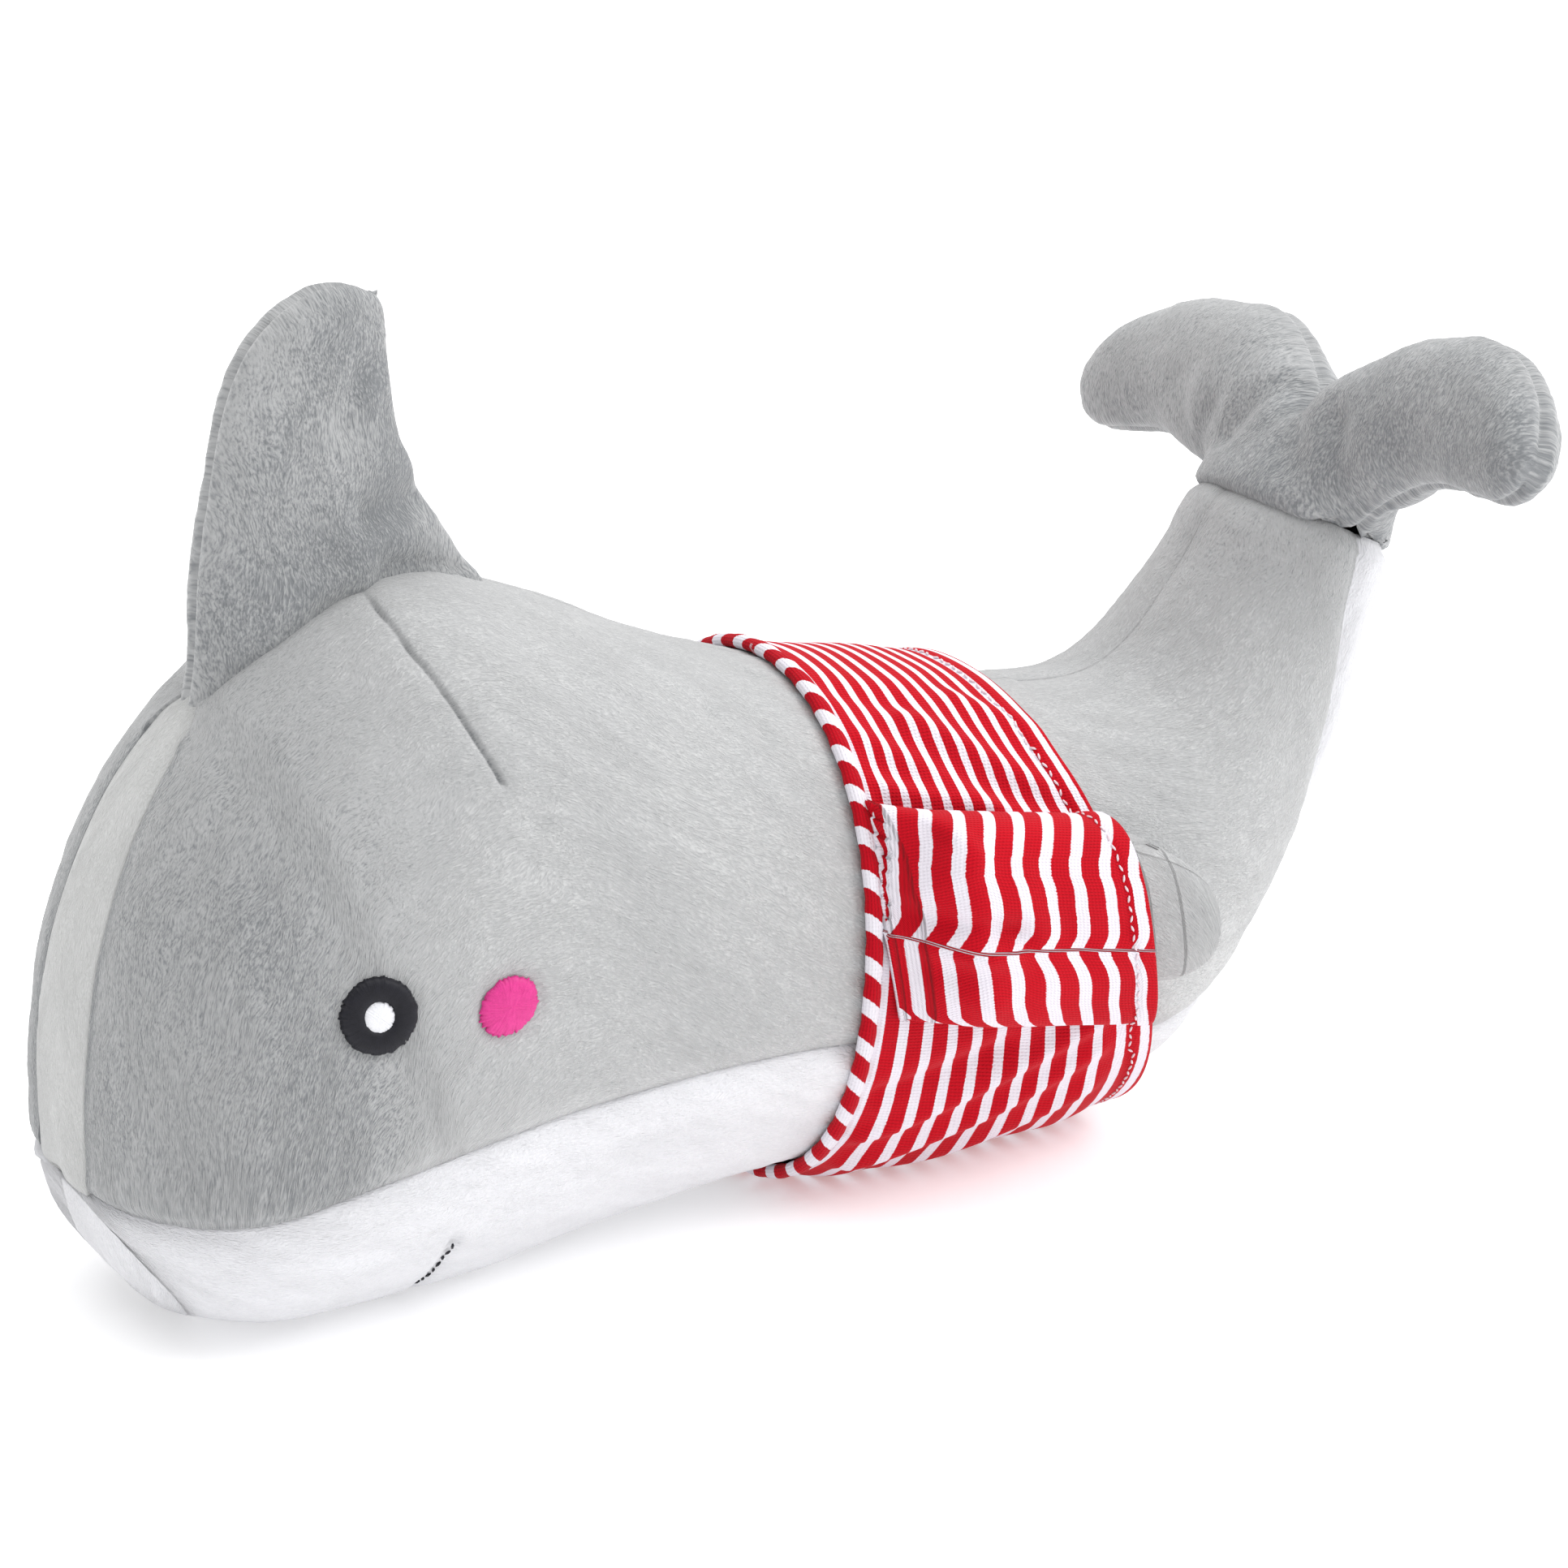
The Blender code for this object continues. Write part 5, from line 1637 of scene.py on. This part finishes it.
@dataclass
class Sleeve:
    """A flattened sleeve that hugs the shirt, and the flipper inside it."""

    side: Side
    length: float = 52 * MM
    half_width: float = 20.5 * MM
    reach: float = 57.2 * MM
    droop: float = 9.5 * MM
    repeat: float = 6.5 * MM
    hem_allowance: float = 4.3 * MM
    wall: float = 0.9 * MM
    flipper_length: float = 54 * MM
    flipper_half_width: float = 15.0 * MM
    flipper_thickness: float = 9 * MM
    flipper_wall: float = 0.8 * MM
    flipper_raised: float = 2 * MM
    flipper_inset: float = 17 * MM
    flipper_out: float = 49.6 * MM
    folds: tuple[Dent, ...] = (
        Dent((0, -5), (20, -3.5), -1.2, 2.6),
        Dent((0, 0.5), (22, 0), 1.3, 2.6),
        Dent((20, -1), (44, 0), 0.7, 3.4),
        Dent((4, 11), (11, 17), 1.2, 2.4),
        Dent((5, 6), (17, 14), -0.9, 2.6),
        Dent((30, 14), (36, -6), 0.4, 3.4),
        Dent((4, -12), (16, -15), -0.6, 2.8),
    )

    def start(self) -> Vector:
        """The front end of the left sleeve's middle line."""
        low, high = (Vector(corner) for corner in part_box("left_sleeve"))
        top = high.z - self.half_width
        return Vector((low.x + 3.8 * MM, 0.0, top))

    def hug(self, probe: Probe, x: float, z: float) -> float:
        """How far out the shirt's surface is at a place on its left side."""
        hit, _, _, _ = probe.tree.ray_cast(Vector((x, -0.3, z)), Vector((0, 1, 0)))
        return -hit.y if hit is not None else 30 * MM

    def layer(self, probe: Probe, x: float, z: float, share: float, weight: float) -> float:
        """How far out the sleeve's cloth lies.

        Args:
            probe: the shirt's surface.
            x: how far along.
            z: how high.
            share: the share of the sleeve's length.
            weight: 0 for the layer on the shirt, 1 for the outer layer.

        Returns:
            The distance from the middle plane.
        """
        inner = self.hug(probe, x, z) + 0.5 * MM
        opened = 0.14 + 0.86 * float(smooth(share / 0.32))
        outer = inner + (self.reach - inner) * opened
        return inner + (outer - inner) * weight**1.25

    def build(self, wardrobe: Wardrobe, probe: Probe) -> None:
        """Makes the sleeve, its cuff stitches and the flipper.

        Args:
            wardrobe: dresses the pieces.
            probe: the shirt's plain surface.
        """
        start = self.start()
        shares = np.linspace(0, 1, 74)
        turns = np.linspace(0, 2 * math.pi, 190)
        points = np.zeros((len(shares), len(turns), 3))
        pattern = np.zeros((len(shares), len(turns), 2))
        lean = self.droop / self.length
        for row, share in enumerate(shares):
            for column, turn in enumerate(turns):
                flat = signed_power(math.cos(turn), 0.75)
                tall = math.sin(turn)
                x = start.x + self.length * share - lean * tall * self.half_width
                z = start.z - self.droop * share + tall * self.half_width
                y = self.layer(probe, x, z, share, (1 - flat) / 2)
                points[row, column] = (x, -y, z)
                pattern[row, column] = (share * self.length / MM, tall * self.half_width / MM)
        patch = Patch(points, points.mean(axis=1))
        outer = smooth(-np.cos(turns) / 0.5)[None, :]
        height = np.zeros(points.shape[:2])
        for fold in self.folds:
            height = height + fold.press(pattern)
        from_cuff = (self.length / MM - pattern[..., 0]) * MM
        free = smooth(pattern[..., 0] / 13 + 0.12) * smooth(from_cuff / (6 * MM)) * outer
        height = height * free + lumps(points, 13 * MM, 51.0) * 0.45 * MM * outer
        height = height + 0.4 * MM * smooth((self.hem_allowance - from_cuff) / (0.8 * MM) + 0.5)
        height = height - 0.35 * MM * bell(from_cuff - self.hem_allowance, 0.7 * MM)
        patch.raise_by(height)
        below = smooth((1.0 - pattern[..., 1]) / 6.0) * outer
        shift = below * (1.0 - 0.75 * smooth((pattern[..., 0] - 14) / 26)) * 0.55
        stripe = patch.along() / self.repeat + shift + 0.36
        stripe = stripe + lumps(points, 15 * MM, 55.0) * 0.07
        cloth = patch.cloth()
        if self.side is Side.RIGHT:
            patch.mirror()
        name = f"{self.side.word}_sleeve_knit"
        piece = patch.build(name, cloth, stripe, wall=self.wall)
        wardrobe.dress(piece, STRIPED_KNIT, f"{self.side.word}_sleeve")
        self.swing(piece)
        row = int(round((1 - self.hem_allowance / self.length) * (len(shares) - 1)))
        ways = patch.normals()[row]
        seen = np.flatnonzero(np.cos(turns) < 0.35)
        path = [Vector(patch.points[row, column]) for column in seen]
        outward = [Vector(ways[column]) for column in seen]
        threads = hem_stitches(f"{self.side.word}_cuff_stitches", path, outward, 0.2 * MM)
        wardrobe.dress(threads, HEM_THREAD, f"{self.side.word}_sleeve_hem_thread")
        self.swing(threads)
        self.build_flipper(wardrobe, probe, start)

    def swing(self, piece: bpy.types.Object) -> None:
        """Bakes a piece's transform into its mesh."""
        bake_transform(piece)

    def build_flipper(self, wardrobe: Wardrobe, probe: Probe, start: Vector) -> None:
        """Makes the plush flipper, whose tip shows past the cuff."""
        shares = 1 - np.linspace(1, 0, 70) ** 1.6
        turns = np.linspace(0, 2 * math.pi, 120)
        lean = self.droop / self.length
        points = np.zeros((len(shares), len(turns), 3))
        for row, share in enumerate(shares):
            tip = max(0.0, (share - 0.62) / 0.38)
            half = self.flipper_half_width * (1 - tip**2.3) ** 0.5
            along = share * self.flipper_length + self.flipper_inset
            full = float(rounded(1 - share, 0.2))
            for column, turn in enumerate(turns):
                tall = signed_power(math.sin(turn), 0.9)
                b = tall * half
                x = start.x + along - lean * b
                z = start.z - lean * along + b + self.flipper_raised
                body = self.layer(probe, min(x, start.x + self.length), z, 1.0, 0.5)
                middle = min(body, self.flipper_out) + 2.5 * MM * float(smooth((share - 0.7) / 0.3))
                flat = signed_power(math.cos(turn), 0.9)
                points[row, column] = (x, -(middle - flat * self.flipper_thickness / 2 * full), z)
        patch = Patch(points, points.mean(axis=1))
        across = patch.across()
        top, bottom = len(turns) // 4, 3 * len(turns) // 4
        seam = np.minimum(patch.from_column(top), patch.from_column(bottom))
        seam = np.minimum(seam, patch.along()[-1:, :] - patch.along())
        height = -0.8 * MM * bell(seam, 0.9 * MM) + BodySkin().pile(points, 61.0) * 0.7
        patch.raise_by(height)
        patch.sew_end(-1)
        cloth = np.stack([patch.along(), across], axis=-1) / MM
        if self.side is Side.RIGHT:
            patch.mirror()
        name = f"{self.side.word}_flipper_plush"
        covers = [f"{self.side.word}_flipper_{face}_cover" for face in ("outer", "inner")]
        # Painted shade along the seams, with random tone.
        tone_and_painted_light = 0.58 + lumps(points, 12 * MM, 81.0) * 0.12 - 0.15 * bell(seam, 0.7 * MM)
        piece = patch.build(name, cloth, tone_and_painted_light, wall=self.flipper_wall)
        wardrobe.dress(piece, GREY_PLUSH, *covers)
        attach(piece, f"{self.side.word}_flipper")
        node = f"{self.side.word}_flipper_stuffing"
        filling = patch.build_filling(wardrobe, f"{self.side.word}_flipper_filling", node, (-1,))
        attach(filling, f"{self.side.word}_flipper")
        LOG.info("flipper: %s", name)


# ------------------------------------------------------------------ the studio


@dataclass
class Studio:
    """The floor, the lights and the camera."""

    target: tuple[float, float, float] = (2.9 * MM, 0.0, 75.7 * MM)
    distance: float = 0.700
    azimuth: float = math.radians(-31)
    elevation: float = math.radians(18)
    lens: float = 85.0
    sensor: float = 36.0
    floor_size: float = 6.0
    floor_glow: float = 0.3
    world_strength: float = 0.62

    def build(self) -> None:
        """Makes the floor, the lights, the world and the camera."""
        self.build_floor()
        self.build_world()
        self.add_light("sky_panel", (0.35, 0.25, 2.4), 4.2, 62.0)
        self.add_light("key_light", (0.85, -0.75, 0.95), 0.8, 7.5)
        self.add_camera()
        scene = bpy.context.scene
        scene.view_settings.view_transform = "Standard"
        scene.view_settings.look = "None"

    def build_floor(self) -> None:
        """Makes the plain pale floor."""
        bm = bmesh.new()
        bmesh.ops.create_grid(bm, x_segments=8, y_segments=8, size=self.floor_size)
        floor = object_from(bm, "studio_floor")
        paint = Paint("studio_white")
        paint.shader.inputs["Base Color"].default_value = (0.93, 0.93, 0.935, 1.0)
        paint.shader.inputs["Roughness"].default_value = 0.9
        paint.shader.inputs["Specular IOR Level"].default_value = 0.1
        paint.shader.inputs["Emission Color"].default_value = (1.0, 1.0, 1.0, 1.0)
        paint.shader.inputs["Emission Strength"].default_value = self.floor_glow
        floor.data.materials.append(paint.material)

    def build_world(self) -> None:
        """Lights the scene from all round with soft white."""
        world = bpy.data.worlds.new("studio_world")
        world.use_nodes = True
        back = world.node_tree.nodes["Background"]
        back.inputs["Color"].default_value = (1.0, 1.0, 1.0, 1.0)
        back.inputs["Strength"].default_value = self.world_strength
        bpy.context.scene.world = world

    def add_light(
        self, name: str, place: tuple[float, float, float], size: float, power: float
    ) -> None:
        """Adds one large soft light that faces the shark."""
        data = bpy.data.lights.new(name, "AREA")
        data.shape = "DISK"
        data.size = size
        data.energy = power
        light = bpy.data.objects.new(name, data)
        bpy.context.collection.objects.link(light)
        light.location = place
        aim = Vector(self.target) - Vector(place)
        light.rotation_euler = aim.to_track_quat("-Z", "Y").to_euler()

    def add_camera(self) -> None:
        """Adds the camera and makes it the scene's."""
        data = bpy.data.cameras.new("studio_camera")
        data.lens = self.lens
        data.sensor_width = self.sensor
        camera = bpy.data.objects.new("studio_camera", data)
        bpy.context.collection.objects.link(camera)
        flat = math.cos(self.elevation)
        away = Vector(
            (
                math.sin(self.azimuth) * flat,
                -math.cos(self.azimuth) * flat,
                math.sin(self.elevation),
            )
        )
        camera.location = Vector(self.target) + away * self.distance
        camera.rotation_euler = (-away).to_track_quat("-Z", "Y").to_euler()
        bpy.context.scene.camera = camera


def skin_probe() -> Probe:
    """A probe of the torso's smooth skin, for laying embroidery on it."""
    places = np.linspace(0.6, 10.0, 120)
    angles = np.linspace(0, 2 * math.pi, 160)
    return Probe(np.array([SHAPE.ring(SHAPE.section(place), angles) for place in places]))


def dress_stuffing(wardrobe: Wardrobe) -> None:
    """Gives the fillings, which the plush hides, their fibre material."""
    for name in ("body", "tail"):
        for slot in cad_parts[f"{name}_stuffing"].material_slots:
            slot.material = wardrobe.material(STUFFING)
        LOG.info("stuffing: %s", name)


def main() -> None:
    """Builds every sub-assembly in order."""
    logging.basicConfig(level=logging.INFO, format="%(name)s: %(message)s")
    wardrobe = Wardrobe()
    Studio().build()
    dress_stuffing(wardrobe)
    BodySkin().build(wardrobe)
    Face().build(wardrobe, skin_probe())
    DorsalFin().build(wardrobe)
    Fluke().build(wardrobe)
    probe = Shirt().build(wardrobe)
    for side in Side:
        Sleeve(side).build(wardrobe, probe)


if __name__ == "__main__":
    main()
